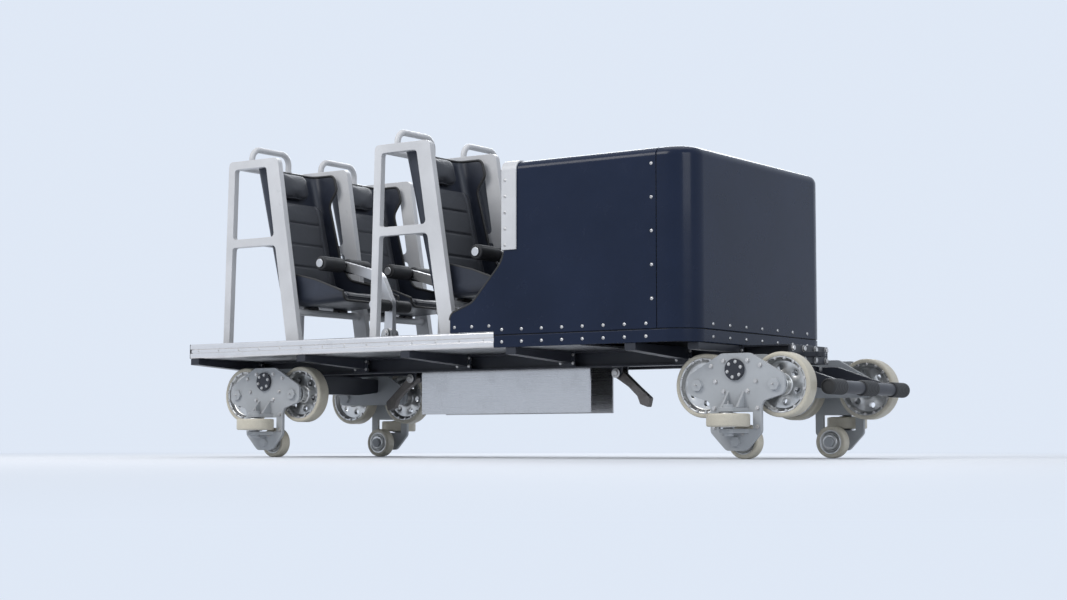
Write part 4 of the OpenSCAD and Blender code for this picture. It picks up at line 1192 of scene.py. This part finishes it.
# Chassis: end plates, arm flanges, bolts and welds on the ladder frame
chassis = {
    "edges": [("chassis_frame", 0.0018, 2), ("cross_members", 0.0020, 2), ("rear_axle", 0.0030, 3),
              ("front_axle", 0.0030, 3), ("rear_hitch", 0.0022, 2)],
    "webY": 0.151,
    "flangeY": 0.2015,
    "flange": (0.096, 0.008),
    "middleZ": 0.4975,
    "armRoots": [0.060, 0.060, 0.060, 0.060, 0.060, 0.034],
    "front": (1.642, (-0.172, -0.060, 0.060, 0.172), (0.472, 0.523)),  # x, y and z of the end bolts
    "rear": (-1.842, [(-0.172, 0.5175), (-0.140, 0.4775), (0.140, 0.4775), (0.172, 0.5175)]),
    "hitch": (-1.8603, (-0.090, 0.090), (0.474, 0.521)),
    "finX": (-0.580, -0.400, -0.220, -0.040, 0.140, 0.320, 0.430),
    "finY": 0.127,
    "finZ": 0.466,
}


def chassisFittings():
    flanges, big, small, lines = bmesh.new(), [], [], []
    long, thick = chassis["flange"]
    outer = chassis["flangeY"] + thick / 2
    for x, root in zip(car["memberX"], chassis["armRoots"]):
        high = root + 0.016
        levels = (0.018, high - 0.016) if root > 0.05 else (0.025,)
        weld = [(-0.030, 0.002), (-0.030, root), (0.030, root), (0.030, 0.002)]
        for side in sides:
            addBlock(flanges, (x, side * chassis["flangeY"], car["under"] - high / 2 - 0.001),
                     (long, thick, high), 0.0015)
            small += [sideAt(x + dx, outer, car["under"] - dz, side, x)
                      for dx in (-0.038, 0.038) for dz in levels]
            big += [sideAt(x, chassis["webY"], chassis["middleZ"] + dz, side, dz * 30)
                    for dz in (-0.020, 0.020)]
            lines.append([(x + dx, side * (outer + 0.0002), car["under"] - dz) for dx, dz in weld])
    x, across, levels = chassis["front"]
    big += [placeAt((x, y, z), (1, 0, 0), y) for y in across for z in levels]
    x, spots = chassis["rear"]
    big += [placeAt((x, y, z), (-1, 0, 0), y) for y, z in spots]
    x, across, levels = chassis["hitch"]
    big += [placeAt((x, y, z), (-1, 0, 0), y) for y in across for z in levels]
    small += [placeAt((x, side * chassis["finY"], chassis["finZ"]), (0, 0, -1), x)
              for x in chassis["finX"] for side in sides]
    finishPiece("chassis_flanges", flanges, "chassis_paint", sharp=30.0)
    weldField("chassis_welds", lines, 0.0036, 11, "chassis_paint")
    boltField("chassis_big_bolts", "m16", big)
    boltField("chassis_small_bolts", "m8", small)


for node, width, segments in chassis["edges"]:
    dressNode(node, "chassis_paint", width, segments)
dressNode("nose_trim", "frame_paint", 0.0016)
chassisFittings()
print("chassis made")


# Bumper: clamp plates on the axle, rubber sleeves and end caps on the tube
bumper = {
    "tubeX": 1.940,
    "tubeZ": 0.330,
    "tubeR": 0.030,
    "end": 0.4002,
    "armY": (-0.240, 0.240),
    "armHalf": (-0.0145, 0.0145),
    "plateX": 1.5915,
    "plateZ": 0.410,
    "plate": (0.011, 0.100, 0.074),
    "boltY": (-0.036, 0.036),
    "boltZ": (-0.023, 0.023),
    "plateWeld": (1.5975, (0.376, 0.444)),
    "tubeWeld": (1.910, (0.312, 0.348)),
    "cap": 0.0055,
    "ribs": 8,
    "ribStep": 0.0165,
    "sleeveY": 0.262,
    "middleY": -0.075,
}


def makeBumper():
    body = bodyOf("front_bumper")
    dressNode("front_bumper", "chassis_paint", 0.0028, 3)
    plates, bolts, lines = bmesh.new(), [], []
    for y in bumper["armY"]:
        addBlock(plates, (bumper["plateX"], y, bumper["plateZ"]), bumper["plate"], 0.0020)
        bolts += [placeAt((bumper["plateX"] + 0.0055, y + dy, bumper["plateZ"] + dz), (1, 0, 0), dy)
                  for dy in bumper["boltY"] for dz in bumper["boltZ"]]
        lines += [[(x, y + way, z) for z in heights] for way in bumper["armHalf"]
                  for x, heights in (bumper["plateWeld"], bumper["tubeWeld"])]
    finishPiece("bumper_plates", plates, "chassis_paint", body, 30.0)
    weldField("bumper_welds", lines, 0.0034, 13, "chassis_paint", body)
    boltField("bumper_bolts", "m12", bolts, body)
    radius, cap = bumper["tubeR"], bumper["cap"]
    grip = [(0.0004, 0.0), (0.004, 0.001), (0.006, 0.004)]
    for base in [0.010 + k * bumper["ribStep"] for k in range(bumper["ribs"])]:
        grip += [(0.006, base), (0.0068, base + 0.002), (0.0068, base + 0.010), (0.006, base + 0.012)]
    grip += [(0.006, 0.146), (0.004, 0.149), (0.0004, 0.150)]
    sleeve = templateMesh(turnedMesh([(radius + r, z) for r, z in grip], 40, True))
    lid = templateMesh(turnedMesh([(0, 0), (radius + 0.003, 0), (radius + 0.003, cap - 0.002),
                                   (radius + 0.001, cap), (0, cap + 0.001)], 40))
    rubber = bmesh.new()
    for side in sides:
        addCopies(rubber, sleeve, [sideAt(bumper["tubeX"], bumper["sleeveY"], bumper["tubeZ"], side)])
        addCopies(rubber, lid, [sideAt(bumper["tubeX"], bumper["end"], bumper["tubeZ"], side)])
    addCopies(rubber, sleeve, [sideAt(bumper["tubeX"], bumper["middleY"], bumper["tubeZ"], 1)])
    finishPiece("bumper_rubber", rubber, "rubber_trim", body, 40.0, False)


makeBumper()
print("bumper made")


# Floor and sills: tread plate with raised lozenges, rivets and groove screws
floorPlate = {
    "start": (-1.782, -0.640),
    "pitch": 0.038,
    "count": (67, 34),
    "lozenge": (0.0125, 0.0046, 0.0017),
    "edgeRivets": [-1.775 + 0.105 * k for k in range(24)],
    "edgeY": 0.648,
    "memberRivets": [-0.60 + 0.08 * k for k in range(16)],
    "sillScrews": [-1.735 + 0.150 * k for k in range(14)],
    "sillY": 0.6935,
    "sillZ": 0.580,
    "capPlace": (-1.7975, 0.6775),
    "cap": (0.006, 0.043, 0.078),
}


def makeFloorPlate():
    dressNode("floor_pan", "floor", 0.0012)
    long, wide, high = floorPlate["lozenge"]
    one = bmesh.new()
    bmesh.ops.create_cone(one, cap_ends=False, segments=8, radius1=1.0, radius2=0.62, depth=high)
    bmesh.ops.scale(one, vec=(long, wide, 1.0), verts=one.verts)
    bmesh.ops.translate(one, vec=(0, 0, high / 2), verts=one.verts)
    top = [e for e in one.edges if all(v.co.z > high * 0.9 for v in e.verts)]
    bmesh.ops.contextual_create(one, geom=top)
    (startX, startY), pitch, (countX, countY) = floorPlate["start"], floorPlate["pitch"], floorPlate["count"]
    places = [Matrix.Translation((startX + i * pitch, startY + j * pitch, car["floor"] - 0.0001))
              @ Matrix.Rotation(math.radians(45 if (i + j) % 2 else -45), 4, "Z")
              for i in range(countX) for j in range(countY)]
    copiesPiece("floor_lozenges", templateMesh(one), places, "floor", sharp=30.0)
    places = [placeAt((x, side * floorPlate["edgeY"], car["floor"])) for side in sides
              for x in floorPlate["edgeRivets"]]
    places += [placeAt((x, y, car["floor"] + 0.0012)) for x in car["memberX"][:4]
               for y in floorPlate["memberRivets"]]
    boltField("floor_rivets", "rivet", places)


def makeSills():
    dressNode("sills", "sill_metal", 0.0010)
    boltField("sill_screws", "small",
              [sideAt(x, floorPlate["sillY"], floorPlate["sillZ"], side) for side in sides
               for x in floorPlate["sillScrews"]])
    caps = bmesh.new()
    x, y = floorPlate["capPlace"]
    for side in sides:
        addBlock(caps, (x, side * y, floorPlate["sillZ"]), floorPlate["cap"], 0.0022)
    finishPiece("sill_caps", caps, "rubber_trim", sharp=30.0)


makeFloorPlate()
makeSills()
print("floor and sills made")


# Lap bars, dogs and fins, with washers and split pins on the ends of their pins
pins = {
    "radius": 0.014,
    "lap": (0.620, 0.0393, 0.110),
    "dogs": [("lift_dog", 0.570), ("rollback_dog", -0.770)],
    "dogY": 0.0402,
    "dogZ": 0.430,
}


# Washer, pin end and the loop of a split pin, standing on Z = 0
def pinEnd(radius):
    shape = [(0, 0), (1.75, 0), (1.75, 0.0025), (1.05, 0.0032), (1, 0.0032), (1, 0.0075), (0.86, 0.0090),
             (0, 0.0090)]
    bm = turnedMesh([(r * radius, z) for r, z in shape], 24)
    addPart(bm, beadAlong(ringPath((radius * 1.25, 0, 0.0055), (0, 0, 1), 0.0042, 14), 0.0011, 6))
    return templateMesh(bm)


dressNode("brake_fins", "fin_steel", 0.0010)
for node, x in pins["dogs"]:
    dressNode(node, "dog_steel", 0.0022, 3)
for name, x, y in seatList:
    dressNode("lap_bar_" + name, "bar_steel", 0.0022, 3)
fasteners["pin"] = pinEnd(pins["radius"])
dx, reach, dz = pins["lap"]
boltField("lap_pin_ends", "pin", [placeAt((x + dx, y + side * reach, car["floor"] + dz), (0, side, 0), 0.4)
                                  for name, x, y in seatList for side in sides])
boltField("dog_pin_ends", "pin", [sideAt(x, pins["dogY"], pins["dogZ"], side, 1.1)
                                  for node, x in pins["dogs"] for side in sides])
print("lap bars, dogs and fins made")


# Bulkhead in the nose: foot-rest strips and a service hatch
bulkhead = {
    "slopeStart": (0.600, 0, 0.585),
    "slope": (0.120, 0, 0.240),
    "strips": [0.035 + 0.040 * k for k in range(5)],
    "strip": (0.007, 0.500, 0.016),
    "stripY": (-0.330, 0.330),
    "hatchX": 0.7075,
    "hatchZ": 1.080,
    "hatch": (0.006, 0.560, 0.360),
    "screwY": (-0.260, -0.130, 0.0, 0.130, 0.260),
    "screwZ": (-0.165, 0.165),
}


def makeBulkhead():
    dressNode("nose_bulkhead", "liner", 0.0020)
    strips = bmesh.new()
    run = Vector(bulkhead["slope"]).normalized()
    turn = Matrix.Rotation(math.atan2(run.x, run.z), 4, "Y")
    for place in [Vector(bulkhead["slopeStart"]) + run * way for way in bulkhead["strips"]]:
        for y in bulkhead["stripY"]:
            addBlock(strips, (place.x - 0.0035, y, place.z), bulkhead["strip"], 0.0022, turn)
    addBlock(strips, (bulkhead["hatchX"], 0.0, bulkhead["hatchZ"]), bulkhead["hatch"], 0.0025)
    finishPiece("bulkhead_strips", strips, "rubber_trim", sharp=30.0)
    boltField("bulkhead_screws", "large",
              [placeAt((bulkhead["hatchX"] - 0.003, y, bulkhead["hatchZ"] + z), (-1, 0, 0))
               for y in bulkhead["screwY"] for z in bulkhead["screwZ"]])


makeBulkhead()
print("bulkhead made")


# Stage, light and camera
studio = {
    "azimuth": 35.0,
    "distance": 10.0,
    "height": 0.06,
    "target": (0.03, 0.0, 0.83),
    "lens": 64.0,
    "floorColor": (0.74, 0.77, 0.82, 1),
    "backdrop": (0.74, 0.81, 0.92, 1),
    "air": (0.88, 0.92, 1.0, 1),
    "floorFade": (2.6, 8.5),
    "ambient": 0.46,
    "lights": [  # name, place, size, power and colour
        ("key", (-2.5, -6.5, 6.0), (5.0, 3.5), 330.0, (1.0, 0.98, 0.95)),
        ("fill", (10.0, -4.7, 4.6), (5.4, 4.6), 250.0, (0.94, 0.97, 1.0)),
        ("rim", (-3.0, 6.0, 5.0), (5.0, 3.0), 230.0, (0.96, 0.98, 1.0)),
        ("top", (0.5, 0.0, 7.0), (5.0, 5.0), 110.0, (1, 1, 1)),
    ],
    "lightAim": (0.0, 0.0, 0.8),
}


def stageObject(name, data):
    made = bpy.data.objects.new(name, data)
    bpy.context.scene.collection.objects.link(made)
    return made


# Share of rays that come from the camera or a mirror, not from diffuse light
def seenRays(tree):
    path = addNode(tree, "LightPath", {}).outputs
    return mathNode(tree, "MAXIMUM", path["Is Camera Ray"], path["Is Glossy Ray"]), path


def mixShaders(tree, factor, a, b, output):
    mix = addNode(tree, "MixShader", {0: factor, 1: a, 2: b})
    tree.links.new(mix.outputs["Shader"], tree.nodes[output].inputs["Surface"])


# The floor near the car takes its shadow; far out it turns into the backdrop's colour
def makeFloor():
    made, tree, shader = startMaterial("studio_floor", {
        "Base Color": studio["floorColor"], "Roughness": 0.60, "Specular IOR Level": 0.2})
    length = addNode(tree, "VectorMath", {0: objectCoords(tree)})
    length.operation = "LENGTH"
    fade = remap(tree, length.outputs["Value"], *studio["floorFade"])
    glow = addNode(tree, "Emission", {"Color": studio["backdrop"], "Strength": 1.0})
    mixShaders(tree, times(tree, fade, seenRays(tree)[0]), shader.outputs["BSDF"], glow.outputs["Emission"],
               "Material Output")
    bm = bmesh.new()
    bmesh.ops.create_circle(bm, cap_ends=True, segments=96, radius=60.0)
    mesh = templateMesh(bm, "studio_floor")
    mesh.materials.append(made)
    stageObject("studio_floor", mesh)


def makeWorld():
    world = bpy.data.worlds.new("studio")
    world.use_nodes = True
    tree = world.node_tree
    seen, path = seenRays(tree)
    seen = mathNode(tree, "MAXIMUM", seen, path["Is Transmission Ray"])
    backdrop = addNode(tree, "Background", {"Color": studio["backdrop"], "Strength": 1.0})
    light = tree.nodes["Background"]
    feed(tree, light, {"Color": studio["air"], "Strength": studio["ambient"]})
    mixShaders(tree, seen, light.outputs["Background"], backdrop.outputs["Background"], "World Output")
    bpy.context.scene.world = world


def aimAt(made, target):
    made.rotation_euler = (Vector(target) - made.location).to_track_quat("-Z", "Y").to_euler()


def makeCamera():
    data = bpy.data.cameras.new("camera")
    data.lens = studio["lens"]
    data.sensor_width = 36.0
    data.clip_end = 200.0
    made = stageObject("camera", data)
    turn, reach, target = math.radians(studio["azimuth"]), studio["distance"], studio["target"]
    made.location = (target[0] + reach * math.sin(turn), target[1] - reach * math.cos(turn), studio["height"])
    aimAt(made, target)
    bpy.context.scene.camera = made


makeFloor()
for name, place, size, power, color in studio["lights"]:
    light = bpy.data.lights.new(name, "AREA")
    light.shape = "RECTANGLE"
    light.size, light.size_y = size
    light.energy = power
    light.color = color
    made = stageObject(name, light)
    made.location = place
    aimAt(made, studio["lightAim"])
makeWorld()
makeCamera()
bpy.context.scene.view_settings.view_transform = "Standard"
print("stage, light and camera made")
